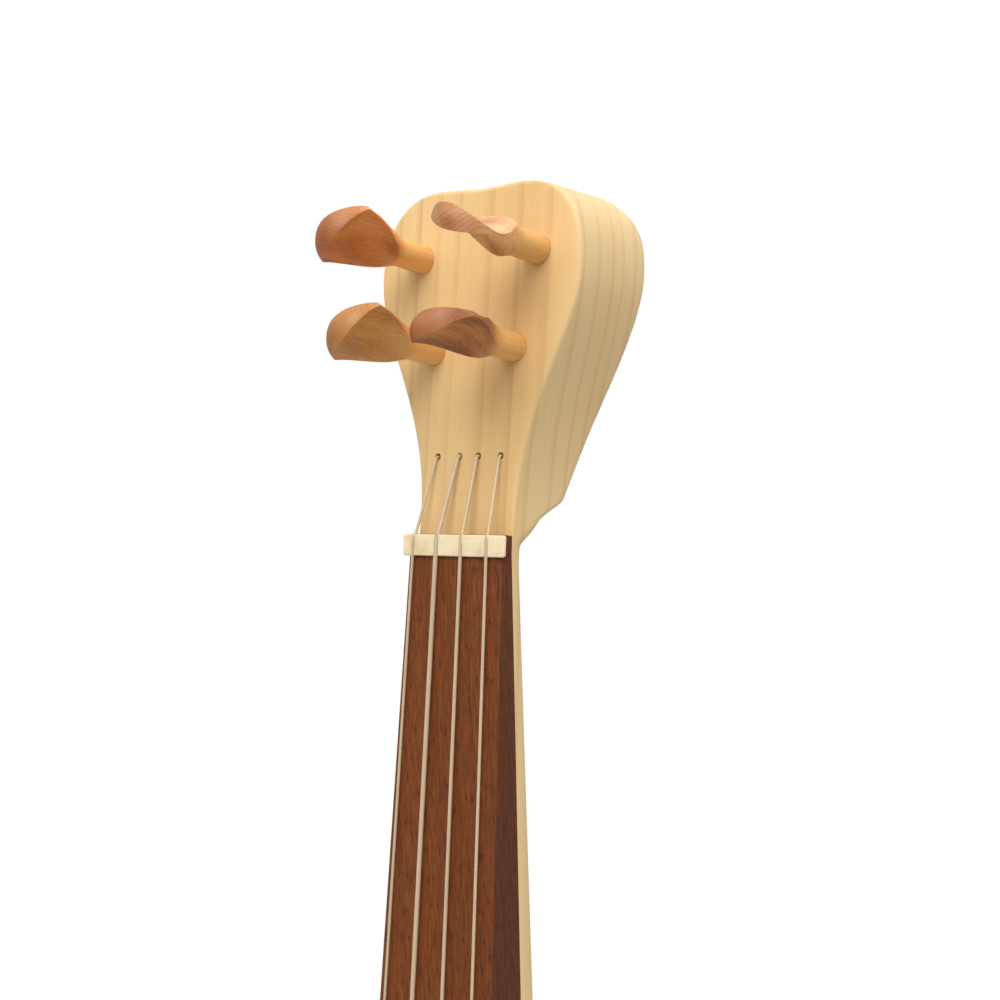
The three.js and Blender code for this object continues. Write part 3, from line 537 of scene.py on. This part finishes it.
MAPLE_TONES = (linear(239, 204, 145), linear(235, 197, 136), linear(231, 190, 128), linear(196, 148, 92))
# On both maples, side_light_and_shade paints sideways faces paler and bluer: painted light.
MAPLE = wood("pale_maple", *MAPLE_TONES, across=HEAD_SLAB, along=UP_FACE, rings=150, uneven=2.2,
             ring_depth=0.4, side_light_and_shade=(0.99, 1.04, 1.14), coat=0.05)
BACK_MAPLE = wood("carved_maple", *MAPLE_TONES, rings=150, uneven=2.2, ring_depth=0.4,
                  side_light_and_shade=(0.99, 1.04, 1.14), coat=0.05)
SPRUCE = wood("spruce", linear(240, 208, 150), linear(230, 192, 130), linear(216, 172, 110),
              linear(176, 124, 70), across=SIDEWAYS,
              rings=600, uneven=2.5, ring_depth=0.6, fibre=(2600, 30), coat=0.08)
BARE_SPRUCE = wood("bare_spruce", linear(233, 203, 150), linear(222, 187, 133), linear(208, 168, 114),
                   linear(170, 124, 74), rings=600, uneven=2.5, ring_depth=0.6, fibre=(2600, 30),
                   rough=(0.6, 0.72))
BRIDGE_WOOD = wood("bridge_maple", linear(214, 160, 98), linear(198, 140, 80), linear(176, 118, 62),
                   linear(128, 78, 38), across=UP, along=SIDEWAYS, rings=500, flecks=0.4, rough=(0.45, 0.6))
# On the rosewood, side_light_and_shade paints sideways faces darker: painted shade.
ROSEWOOD = wood("brown_rosewood", linear(138, 75, 31), linear(116, 59, 20), linear(92, 44, 14),
                linear(72, 34, 12), sway=0.004,
                rings=230, uneven=4.0, ring_depth=0.3, fibre=(1900, 110), fibres=0.55,
                flecks=0.55, side_light_and_shade=(0.68, 0.68, 0.72), rough=(0.5, 0.62), bump=0.2)
BONE = bone()
NYLON = nylon("clear_nylon", linear(236, 211, 174), 0.3)
GUT = nylon("amber_gut", linear(206, 170, 116), 0.3)


def own(piece, material, body="instrument", replaces=()):
    """Gives a new piece its finish and its body, and hides the CAD nodes that it stands for."""
    piece.data.materials.clear()
    piece.data.materials.append(material)
    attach(piece, body)
    if replaces:
        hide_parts(*replaces)
    return piece


# ---- neck and head ----
def neck_half_width(drop):
    return NECK_HALF_WIDTH + NECK_FLARE * drop


# Along the head, in heights above the nut: the outline's flare and shoulders, then the back's cove, step,
# heel and rounded top.
FLARE_START, FLARE_SKEW = 4, 1.4
HEAD_WIDEST, HEAD_HALF_WIDTH = 90, 39.2
CROWN_HALF_WIDTH, SHOULDER_ROUNDING = 14, 2.4
COVE_LOW, COVE_HIGH, COVE_DEPTH = -8, 12, 5
STEP_MIDDLE, STEP_HALF = 13.5, 3.5
HEEL_LOW, HEEL_HIGH, HEEL_DROP = 14.5, 66, 13.5
SLAB_TOP, CROWN_DEPTH, CROWN_ROUNDING = 102, 29, 1.7
SQUARE_LOW, SQUARE_HIGH, NECK_SQUARE, HEAD_SQUARE = 2, 24, 2, 20


def head_half_width(above):
    """An S-shaped flare up to the widest place, then rounded shoulders and a short flat crown."""
    flare = max(above - FLARE_START, 0) / (HEAD_WIDEST - FLARE_START)
    if above < HEAD_WIDEST:
        return lerp(NECK_HALF_WIDTH, HEAD_HALF_WIDTH, rise(flare**FLARE_SKEW))
    shoulder = rounding((above - HEAD_WIDEST) / (HEAD_TOP - HEAD_WIDEST), SHOULDER_ROUNDING)
    return lerp(CROWN_HALF_WIDTH, HEAD_HALF_WIDTH, shoulder)


def head_depth(above):
    """The neck's back coves outwards, turns under the head and goes on as the heel, up to an even slab."""
    if above > SLAB_TOP:
        crown = rounding((above - SLAB_TOP) / (HEAD_TOP - SLAB_TOP), CROWN_ROUNDING)
        return lerp(CROWN_DEPTH, HEAD_THICKNESS, crown)
    cove = COVE_DEPTH * clamp((above - COVE_LOW) / (COVE_HIGH - COVE_LOW)) ** 2
    neck = NECK_DEPTH - NECK_DEEPEN * above + cove
    heel = HEAD_THICKNESS - HEEL_DROP * (max(HEEL_HIGH - above, 0) / (HEEL_HIGH - HEEL_LOW)) ** 2
    return lerp(neck, heel, rise((above - STEP_MIDDLE + STEP_HALF) / (2 * STEP_HALF)))


def head_squareness(above):
    """The exponent of the back's section: round on the neck, nearly square on the head."""
    return lerp(NECK_SQUARE, HEAD_SQUARE, rise((above - SQUARE_LOW) / (SQUARE_HIGH - SQUARE_LOW)))


EDGE = smooth([(6, 0.1), (14, 1.0), (30, 1.6), (HEAD_TOP, 1.6)])
TOP_DIP = 0.8
DIP_HALF_WIDTH = 15
DIP_START = 96


def crown_dip(x):
    """How far the head's top is hollowed in its middle."""
    return TOP_DIP * max(0, 1 - (x / DIP_HALF_WIDTH) ** 2) ** 2


def neck_section(y):
    """The ring of points round the neck or head at a height: a flat front with rounded edges, and behind it
    half a superellipse, which is round on the neck and nearly square on the head."""
    above = y - NUT_Y
    half = neck_half_width(-above) if above < 0 else head_half_width(above)
    depth = head_depth(above)
    front = -above * math.tan(LEAN) if above > 0 else 0
    edge = EDGE(above)
    over = max(0, above - (HEAD_TOP - edge))
    fall = edge - math.sqrt(max(edge**2 - over**2, 0))
    power = 2 / head_squareness(above)
    turns = [math.pi * k / 400 for k in range(401)]
    back = [
        (half * math.copysign(abs(math.cos(t)) ** power, math.cos(t)), -depth * math.sin(t) ** power)
        for t in turns
    ]
    back = [p for p in back if p[1] < -edge] if edge > 0.2 else back
    sides = resample([(half, -edge), *back, (-half, -edge)], 96)
    bends = spread(0, math.pi / 2, 5)
    left = [(-half + edge - edge * math.cos(a), -edge + edge * math.sin(a)) for a in bends]
    right = [(-x, z) for x, z in reversed(left)]
    across = [(x, 0) for x in spread(-half + edge, half - edge, 24)[1:-1]]
    ring = [*left, *across, *right, *sides[1:-1]]
    dip = max(0, (above - DIP_START) / (HEAD_TOP - DIP_START)) ** 2
    lower = [dip * crown_dip(x) for x, z in ring]
    # The front edge's rounding draws points back, less and less towards the middle of the depth.
    return [(x, y - low, front + z - fall * clamp(1 + 2 * z / depth)) for (x, z), low in zip(ring, lower)]


HOLLOW_LOW = 23
HOLLOW_HIGH = HEAD_TOP - HEAD_WALL
LOW_WALL = 0.93  # the lower walls' share of the full wall


def neck_and_head():
    low, high = JOINT_Y + GLUE_GAP, NUT_Y - 10
    heights = spread(low, high, 24)
    heights += [NUT_Y + v for v in spread(-8, 30, 38)]
    heights += [NUT_Y + v for v in spread(31.5, 102, 47)]
    heights += [NUT_Y + v for v in spread(102.6, 114, 19)]
    heights += [NUT_Y + HEAD_TOP - 4 * (1 - math.sin(t)) for t in spread(0.08, math.pi / 2, 13)]
    rings = [neck_section(y) for y in heights]
    crown = rings[-1]
    middle = sum(z for _, _, z in crown) / len(crown)
    for share in (0.85, 0.6, 0.35, 0.15, 0.02):
        rings.append([
            (x * share, y - crown_dip(x * share) + crown_dip(x), lerp(middle, z, share)) for x, y, z in crown
        ])
    piece = skin("neck_and_head_fine", rings)
    half = [(head_half_width(v) - HEAD_WALL * (LOW_WALL if v < 60 else 1), v) for v in spread(25, 104, 60)]
    corner = bow(half[-1], (half[-1][0] - 2.5, HOLLOW_HIGH), (half[-1][0] - 15, HOLLOW_HIGH), 14)
    foot = bow((half[0][0] - 5, HOLLOW_LOW), (half[0][0] - 0.2, HOLLOW_LOW), half[0], 8)
    right = [*foot, *half[:-1], *corner, (half[-1][0] - 15, HOLLOW_HIGH)]
    left = [(-x, y) for x, y in reversed(right)]
    hollow = plate("hollow", [*right, *left], -HEAD_THICKNESS - 30, -FACE_PLATE, HEAD)
    cutters = [hollow]
    for _, x, y, *_ in PEGS:
        cutters.append(drill("peg_hole", PEG_SHAFT + PEG_CLEARANCE, x, y, 96))
    for _, _, _, x in STRINGS:
        cutters.append(drill("string_hole", STRING_HOLE_RADIUS, x, STRING_HOLE_Y, 32))
    return cut(piece, cutters)


def drill(name, radius, x, y, sides):
    place = HEAD @ Matrix.Translation((x, y, 0))
    return turned(name, [(radius, -FACE_PLATE - 3), (radius, 4)], place, sides)


own(neck_and_head(), MAPLE, replaces=["neck_and_head"])


# ---- fingerboard and nut ----
def fingerboard():
    """A wedge whose top is level with the head's face, with its long edges rounded."""
    edge = 1.1
    end = 5.9
    over_body = -(NECK_LENGTH + 6)
    lean = math.tan(LEAN)

    def under(y):
        over_soundboard = clamp((over_body - y) / 5) * (4 - GLUE_GAP)
        return min(y, 0) * lean + GLUE_GAP + over_soundboard

    rings = []
    for y in [-BOARD_LENGTH, -BOARD_LENGTH + 0.5, *spread(-BOARD_LENGTH + 1, over_body - 5, 12),
              *spread(over_body, 0, 40), 2, 4, 5.4, end]:
        half = neck_half_width(-y)
        top = BOARD_THICKNESS
        left = [(-half + edge - edge * math.cos(a), top - edge + edge * math.sin(a))
                for a in spread(0, math.pi / 2, 6)]
        inner = spread(-half + edge, half - edge, 20)[1:-1]
        across = [(x, top + 0.12 * (1 - (x / half) ** 2)) for x in inner]
        right = [(-x, z) for x, z in reversed(left)]
        low = under(y)
        floor = [(half, low), *[(x, low) for x in spread(half, -half, 6)[1:-1]], (-half, low)]
        rings.append([(x, y, z) for x, z in [*left, *across, *right, *floor]])
    return skin("fingerboard_fine", rings, HEAD)


def string_points(index):
    """A string's route in the head frame: tailpiece, bridge, nut, mouth and back of its hole, peg."""
    radius, nut, bridge, hole = STRINGS[index]
    _, x, y, _, _, turns = PEGS[index]
    height = BOARD_THICKNESS + STRING_OVER_BOARD
    inner = -math.copysign(PEG_TAIL_RADIUS + 2 * GLUE_GAP + 3 * radius, x)
    return [
        tail_point(index),
        (bridge, BRIDGE_Y - NUT_Y, height + STRING_RISE * STRING_LENGTH),
        (nut, 3, height),
        (hole, STRING_HOLE_Y, 0.8 * radius + 0.15),
        (hole, STRING_HOLE_Y, -FACE_PLATE - 1.2),
        (x + inner, y - 1, turns),
    ]


# The tailpiece's own frame: y runs up its length from its lower end, z = 0 is its underside.
TAIL_LOW = BODY_BOTTOM + 16
TAIL_LENGTH = 78
TAIL_THICK = 5
TAIL_HOLE = 69
TAIL_DRAW = 0.72  # how far the strings draw together between the bridge and the tailpiece
TAIL_IN_BODY = Matrix.Translation((0, TAIL_LOW, 7)) @ Matrix.Rotation(0.2, 4, "X")
TAIL = BODY @ TAIL_IN_BODY


def tail_point(index):
    radius, _, bridge, _ = STRINGS[index]
    point = TAIL_IN_BODY @ Vector((bridge * TAIL_DRAW, TAIL_HOLE, TAIL_THICK + radius + STRING_GAP))
    return tuple(HEAD_IN_BODY.inverted() @ point)


def nut():
    """A bone strip with rounded ends and top edges, and a groove for each string."""
    half, low, high, round_off = 19.7, -1.1, 5.7, 1.0
    corners = [(half, low), (half, high), (-half, high), (-half, low)]
    outline = []
    for i, corner in enumerate(corners):
        before, after = corners[i - 1], corners[(i + 1) % 4]
        start = tuple(c + round_off * (b > c) - round_off * (b < c) for c, b in zip(corner, before))
        end = tuple(c + round_off * (a > c) - round_off * (a < c) for c, a in zip(corner, after))
        outline += [*bow(start, corner, end, 6), end]
    base = BOARD_THICKNESS + GLUE_GAP
    strip = plate("nut_fine", outline, base, base + 1.3, HEAD, bevel=0.4, steps=4)
    grooves = [
        tube("groove", string_points(i)[1:4], s[0] + 0.12, 24, HEAD) for i, s in enumerate(STRINGS)
    ]
    return cut(strip, grooves)


own(fingerboard(), ROSEWOOD, replaces=["fingerboard"])
own(nut(), BONE, replaces=["nut"])


# ---- strings ----
for i, row in enumerate(STRINGS):
    route = rounded(string_points(i), 0.8)
    string = tube(f"string_{i + 1}_fine", route, row[0], 24, HEAD)
    own(string, NYLON, replaces=[f"string_{i + 1}"])

# ---- pegs ----
GRIP_LOW = 13
GRIP_WIDEST, GRIP_RADIUS, GRIP_ROUNDING = 38, 11.5, 1.6
LEAF_HALF, LEAF_THINNEST = 0.6, 35.5
SCOOP_BELOW, SCOOP_ABOVE = 26, 18.5  # radius of each scoop's curve, below and above the thinnest place
FLARING = smooth([(GRIP_LOW, PEG_SHAFT), (20, 6.5), (30, 9.7), (GRIP_WIDEST, GRIP_RADIUS)])
UNCUT = 99.0  # a half thickness that leaves the shaft round
ARRIS = 40  # a larger number makes the edge between scoop and rim sharper


def peg_radius(z):
    if z < GRIP_WIDEST:
        return FLARING(z)
    return GRIP_RADIUS * rounding((z - GRIP_WIDEST) / (PEG_TIP - GRIP_WIDEST), GRIP_ROUNDING)


def grip_half_thickness(z):
    scoop = SCOOP_BELOW if z < LEAF_THINNEST else SCOOP_ABOVE
    return LEAF_HALF + (z - LEAF_THINNEST) ** 2 / (2 * scoop)


def peg(name, place):
    """A shaft that flares into a blunt bell, cut by two long scoops to a flat leaf. At each height its
    radius is the bell's or, towards the scoops, what the leaf's thickness leaves."""
    heights = [*spread(-8, 13, 14), *spread(13.6, 40, 88), *spread(40.3, 46.8, 40), 47.1, 47.35, 47.5]
    rim, face = 10, 22
    tail = [
        (PEG_TAIL_RADIUS - 0.6, PEG_TAIL), (PEG_TAIL_RADIUS - 0.15, PEG_TAIL + 0.2),
        (PEG_TAIL_RADIUS, PEG_TAIL + 0.8), (PEG_TAIL_RADIUS, -FACE_PLATE - 2), (PEG_SHAFT, -FACE_PLATE - 1),
    ]
    rings = [(z, r, UNCUT) for r, z in tail]
    rings += [(z, peg_radius(z), grip_half_thickness(z) if z > GRIP_LOW else UNCUT) for z in heights]
    made = []
    for z, radius, half in rings:
        corner = math.asin(min(half / radius, math.sin(math.radians(50))))
        quarter = spread(0, corner, rim)[:-1]
        quarter += [math.acos(min(1, math.cos(corner) * (1 - k / face))) for k in range(face)]
        turns = [*quarter, *[math.pi - t for t in reversed([*quarter[1:], math.pi / 2])]]
        turns += [math.pi + t for t in turns]
        ring = []
        for t in turns:
            flat = abs(math.sin(t)) / half
            reach = (radius**-ARRIS + flat**ARRIS) ** (-1 / ARRIS)
            ring.append((reach * math.cos(t), reach * math.sin(t), z))
        made.append(ring)
    return skin(name, made, place, sharp=50)


def peg_winding(name, place, radius, middle):
    """The string's turns round the peg, side by side."""
    inner = PEG_TAIL_RADIUS + GLUE_GAP + radius
    turns = int(2 * WINDING_HALF / (2.05 * radius))
    pitch = 2 * (WINDING_HALF - radius) / turns
    steps = 40
    points = []
    for k in range(turns * steps + 1):
        a = 2 * math.pi * k / steps
        height = middle - WINDING_HALF + radius + pitch * k / steps
        points.append((inner * math.cos(a), inner * math.sin(a), height))
    return tube(name, points, radius * 0.98, 12, place)


SHAFT = linear(240, 184, 110)
PEG_TONES = {
    "lower_left": (linear(224, 166, 94), linear(203, 139, 72), linear(170, 110, 56), linear(182, 120, 66)),
    "upper_left": (linear(228, 154, 90), linear(208, 126, 62), linear(174, 100, 48), linear(154, 92, 50)),
    "upper_right": (linear(246, 196, 142), linear(228, 166, 108), linear(182, 118, 70), linear(166, 102, 60)),
    "lower_right": (linear(204, 138, 80), linear(174, 106, 56), linear(128, 72, 36), linear(180, 110, 66)),
}
for i, (side, x, y, out, turn, turns) in enumerate(PEGS):
    body = f"tuner_{side}"
    place = HEAD @ Matrix.Translation((x, y, 0)) @ Matrix.Rotation(math.radians(turn), 4, "Z")
    finish = peg_wood(f"peg_wood_{side}", 0.31 * i, 0.5 + 0.7 * i, SHAFT, *PEG_TONES[side])
    made = peg(f"peg_{side}_fine", place @ Matrix.Translation((0, 0, out)))
    own(made, finish, body, [f"peg_{side}"])
    coil = peg_winding(f"string_turns_{i + 1}", place, STRINGS[i][0], turns)
    own(coil, NYLON, body, [f"string_winding_{i + 1}"])


# ---- body ----
OUTLINE_ROUNDING = 2.15  # superellipse exponents of the outline, of the back's length and of its section
KEEL_ROUNDING = 2.8
BACK_ROUNDING = 2.25


def body_half_width(y):
    if y < WIDEST_Y:
        t = min((WIDEST_Y - y) / (WIDEST_Y - BODY_BOTTOM), 1)
        return BODY_HALF_WIDTH * rounding(t, OUTLINE_ROUNDING)
    wave = 0.5 + 0.5 * math.cos(math.pi * ((y - WIDEST_Y) / (JOINT_Y - WIDEST_Y)) ** 0.96)
    return lerp(neck_half_width(NECK_LENGTH), BODY_HALF_WIDTH, wave)


def body_depth(y):
    if y < WIDEST_Y:
        t = min((WIDEST_Y - y) / (WIDEST_Y - BODY_BOTTOM), 1)
        return BODY_DEPTH * rounding(t, KEEL_ROUNDING)
    t = (y - WIDEST_Y) / (JOINT_Y - WIDEST_Y)
    joint = NECK_DEPTH + NECK_DEEPEN * NECK_LENGTH - TOP_THICKNESS
    return lerp(joint, BODY_DEPTH, 0.5 + 0.5 * math.cos(math.pi * t**1.15))


RIM = -TOP_THICKNESS - GLUE_GAP


def bowl_ring(y, half, depth):
    """The curved back at a height, from its left rim to its right rim."""
    power = 2 / BACK_ROUNDING
    curve = []
    for t in spread(math.pi, 0, 240):
        x = half * math.copysign(abs(math.cos(t)) ** power, math.cos(t))
        curve.append((x, RIM - depth * abs(math.sin(t)) ** power))
    return [(x, y, z) for x, z in resample(curve, 80)]


def bowl(inset):
    rings = []
    for t in spread(0, 1, 44):
        share = 1 - math.cos(math.pi / 2 * max(t, 0.012))
        outer = lerp(BODY_BOTTOM, WIDEST_Y, share)
        half = body_half_width(outer) * (BODY_HALF_WIDTH - inset) / BODY_HALF_WIDTH
        depth = body_depth(outer) * (BODY_DEPTH - inset) / BODY_DEPTH - GLUE_GAP
        y = lerp(BODY_BOTTOM + inset, WIDEST_Y, share)
        rings.append(bowl_ring(y, max(half, 0.6), max(depth, 0.4)))
    for y in spread(WIDEST_Y, JOINT_Y, 56)[1:]:
        rings.append(bowl_ring(y, body_half_width(y) - inset, body_depth(y) - GLUE_GAP - inset))
    return rings


def back_shell():
    """The carved back: an outer and an inner bowl, joined round the rim and at the neck's end."""
    outer, inner = bowl(0), bowl(SHELL)
    count, rows = len(outer[0]), len(outer)
    vertices = [p for ring in outer + inner for p in ring]
    start = rows * count
    faces = []
    for r in range(rows - 1):
        for k in range(count - 1):
            a, b, c, d = r * count + k, r * count + k + 1, (r + 1) * count + k + 1, (r + 1) * count + k
            faces.append((a, b, c, d))
            faces.append((start + d, start + c, start + b, start + a))
        for k, flip in ((0, False), (count - 1, True)):
            a, b = r * count + k, (r + 1) * count + k
            rim = (a, b, start + b, start + a)
            faces.append(tuple(reversed(rim)) if flip else rim)
    for r, flip in ((0, True), (rows - 1, False)):
        for k in range(count - 1):
            a, b = r * count + k, r * count + k + 1
            end = (a, b, start + b, start + a)
            faces.append(tuple(reversed(end)) if flip else end)
    return make("back_shell_fine", vertices, faces)


def crescent(side):
    x, y, tall, wide, curve = side * 50, BRIDGE_Y + 62, 29, 7, 9
    tips = [(x + side * curve, y - tall), (x + side * curve, y + tall)]
    outer = bow(tips[0], (x - side * (curve + wide), y), tips[1], 24)
    inner = bow(tips[1], (x - side * (curve - wide), y), tips[0], 24)
    return [*outer, *inner]


SADDLE_HALF = 14
SADDLE_HIGH = BODY_BOTTOM + 6


def soundboard():
    lower = [lerp(BODY_BOTTOM, WIDEST_Y, 1 - math.cos(t)) for t in spread(0, math.pi / 2, 48)]
    right = [(body_half_width(y), y) for y in [*lower, *spread(WIDEST_Y, JOINT_Y - GLUE_GAP, 60)[1:]]]
    notch_half = SADDLE_HALF + GLUE_GAP
    notch_high = SADDLE_HIGH + GLUE_GAP
    notch_low = next(y for y in spread(BODY_BOTTOM, WIDEST_Y, 2000) if body_half_width(y) > notch_half)
    outside = [p for p in right if p[0] > notch_half]
    right = [(notch_half, notch_high), (notch_half, notch_low), *outside]
    left = [(-x, y) for x, y in reversed(right)]
    return plate("soundboard_fine", [*right, *left], -TOP_THICKNESS, 0, BODY, bevel=0.6, steps=3,
                 holes=[crescent(1), crescent(-1)])


own(back_shell(), BACK_MAPLE, replaces=["back_shell"])
own(soundboard(), SPRUCE, replaces=["soundboard"])


# ---- bridge, tailpiece and what holds it ----
BRIDGE_TAPER = 0.42  # the bridge's thickness at its top, as a share of that at its feet


def bridge():
    top = (HEAD_IN_BODY @ Vector(string_points(0)[1])).z + 0.6
    shoulder = (29.5, top - 2)
    other = (-29.5, top - 2)
    waist = (27, 20)
    arch_top = (0, 10.5)
    half = [
        (34, GLUE_GAP), (34, 4), *bow((34, 4), (25, 10), waist, 12)[1:], *bow(waist, (31, 28), shoulder, 12),
    ]
    crown = bow(shoulder, (0, top + 1.4), other, 32)
    arch = [
        *bow((-15, GLUE_GAP), (-15, 10), arch_top, 12), *bow(arch_top, (15, 10), (15, GLUE_GAP), 12),
        (15, GLUE_GAP),
    ]
    outline = [*half, *crown, other, *[(-x, y) for x, y in reversed(half)], *arch]
    holes = [circle(0, 24, 5, 6.5), circle(18, 17, 3.6, 3.6), circle(-18, 17, 3.6, 3.6)]
    place = BODY @ Matrix.Translation((0, BRIDGE_Y, 0)) @ UPRIGHT
    piece = plate("bridge_fine", outline, -3.5, 3.5, place, bevel=0.5, steps=3, holes=holes)
    for v in piece.data.vertices:
        at = BODY.inverted() @ v.co
        at.y = BRIDGE_Y + (at.y - BRIDGE_Y) * lerp(1, BRIDGE_TAPER, clamp(at.z / top))
        v.co = BODY @ at
    grooves = [
        tube("groove", [Vector(string_points(i)[k]) for k in range(3)], s[0] + STRING_GAP * 0.6, 20, HEAD)
        for i, s in enumerate(STRINGS)
    ]
    return cut(piece, grooves)


def tailpiece():
    right = [*bow((9, 0), (12, 30), (22, TAIL_LENGTH - 3), 24)]
    crown = bow((22, TAIL_LENGTH - 3), (0, TAIL_LENGTH + 3), (-22, TAIL_LENGTH - 3), 24)
    left = bow((-22, TAIL_LENGTH - 3), (-12, 30), (-9, 0), 24)
    foot = bow((-9, 0), (0, -2), (9, 0), 12)
    holes = [circle(s[2] * TAIL_DRAW, TAIL_HOLE, 1.3, 1.3, 24) for s in STRINGS]
    holes += [circle(x, 7, 1.5, 1.5, 24) for x in (-5, 5)]
    outline = [*right, *crown, *left, *foot]
    return plate("tailpiece_fine", outline, 0, TAIL_THICK, TAIL, bevel=0.7, steps=4, holes=holes)


def end_button():
    stem, inside = 4.2, 30
    profile = [
        (0.4, 0), (6.2, 0), (6.9, 0.15), (7.5, 0.6), (7.85, 1.2), (8, 2.2), (7.9, 3.0), (7.5, 3.8),
        (6.8, 4.5), (5.9, 5.1), (5.1, 5.6), (4.6, 6.1), (4.3, 6.8), (stem, 7.6), (stem, BODY_BOTTOM - 0.4),
        (3.6, BODY_BOTTOM + 1), (3.2, inside), (0.4, inside),
    ]
    place = BODY @ Matrix.Translation((0, 0, -BUTTON_DEPTH)) @ Matrix.Rotation(-math.pi / 2, 4, "X")
    return turned("end_button_fine", profile, place)


def knot(index):
    """A string's end behind the tailpiece, tied in a small round knot."""
    bridge = STRINGS[index][2]
    radius = 2.0
    points = []
    for k in range(121):
        a = 2 * math.pi * k / 120
        reach = 1.25 + 0.35 * math.cos(3 * a)
        points.append((reach * math.cos(2 * a), reach * math.sin(2 * a), 0.75 * math.sin(3 * a)))
    place = TAIL @ Matrix.Translation((bridge * TAIL_DRAW, TAIL_HOLE, -radius - GLUE_GAP))
    return tube(f"string_knot_{index + 1}_fine", points, 0.42, 12, place)


own(bridge(), BRIDGE_WOOD, replaces=["bridge"])
own(tailpiece(), ROSEWOOD, replaces=["tailpiece"])
own(end_button(), ROSEWOOD, replaces=["end_button"])
for i in range(4):
    own(knot(i), NYLON, replaces=[f"string_knot_{i + 1}"])


# ---- CAD nodes that keep their shape and get their finish here ----
KEPT = {
    BARE_SPRUCE: ["neck_block", "end_block", "lining_left", "lining_right", "brace_upper", "brace_lower",
                  "bass_bar", "sound_post"],
    BONE: ["saddle"],
    GUT: ["tail_gut"],
}
for material, names in KEPT.items():
    for name in names:
        nodes[name].data.materials.clear()
        nodes[name].data.materials.append(material)


# ---- stage ----
FLOOR_HEIGHT = -0.0005


def add_floor():
    radius, sides = 1.15, 128
    turns = [2 * math.pi * k / sides for k in range(sides)]
    mesh = bpy.data.meshes.new("floor")
    rim = [(radius * math.cos(t), radius * math.sin(t), FLOOR_HEIGHT) for t in turns]
    mesh.from_pydata(rim, [], [tuple(range(sides))])
    floor = bpy.data.objects.new("floor", mesh)
    bpy.context.collection.objects.link(floor)
    n = Nodes("floor")
    n.shader.inputs["Base Color"].default_value = (0.56, 0.56, 0.56, 1)
    n.shader.inputs["Roughness"].default_value = 0.8
    mesh.materials.append(n.material)


def add_light(name, position, aim, size, power):
    data = bpy.data.lights.new(name, "AREA")
    data.shape = "DISK"
    data.size = size
    data.energy = power
    light = bpy.data.objects.new(name, data)
    light.location = position
    light.rotation_euler = (Vector(aim) - Vector(position)).to_track_quat("-Z", "Y").to_euler()
    bpy.context.collection.objects.link(light)


def add_world():
    """A soft sky, brighter above, that shows white behind the instrument."""
    world = bpy.data.worlds.new("world")
    world.use_nodes = True
    tree = world.node_tree
    sky = tree.nodes["Background"]
    sky.inputs["Strength"].default_value = 1.0
    toward = tree.nodes.new("ShaderNodeSeparateXYZ")
    tree.links.new(tree.nodes.new("ShaderNodeTexCoord").outputs["Generated"], toward.inputs[0])
    fade = tree.nodes.new("ShaderNodeMapRange")
    tree.links.new(toward.outputs["Z"], fade.inputs["Value"])
    for key, number in zip(MAP_ENDS, (SKY_START, 1.0, SKY_LOW, SKY_HIGH)):
        fade.inputs[key].default_value = number
    tree.links.new(fade.outputs["Result"], sky.inputs["Color"])
    backdrop = tree.nodes.new("ShaderNodeBackground")
    backdrop.inputs["Color"].default_value = (1, 1, 1, 1)
    choice = tree.nodes.new("ShaderNodeMixShader")
    tree.links.new(tree.nodes.new("ShaderNodeLightPath").outputs["Is Camera Ray"], choice.inputs[0])
    tree.links.new(sky.outputs[0], choice.inputs[1])
    tree.links.new(backdrop.outputs[0], choice.inputs[2])
    tree.links.new(choice.outputs[0], tree.nodes["World Output"].inputs["Surface"])
    bpy.context.scene.world = world


SKY_START = -0.35  # the height at which the sky begins to brighten, as a direction's upward part
SKY_LOW = 0.15
SKY_HIGH = 1.25
HEAD_CENTRE = (0, -0.03, 0.62)
add_floor()
add_world()
add_light("key", (0.3, -1.05, 1.45), HEAD_CENTRE, 0.9, 10)
add_light("fill", (0.7, 0.3, 1.75), HEAD_CENTRE, 1.0, 5)
bpy.context.scene.view_settings.view_transform = "Standard"
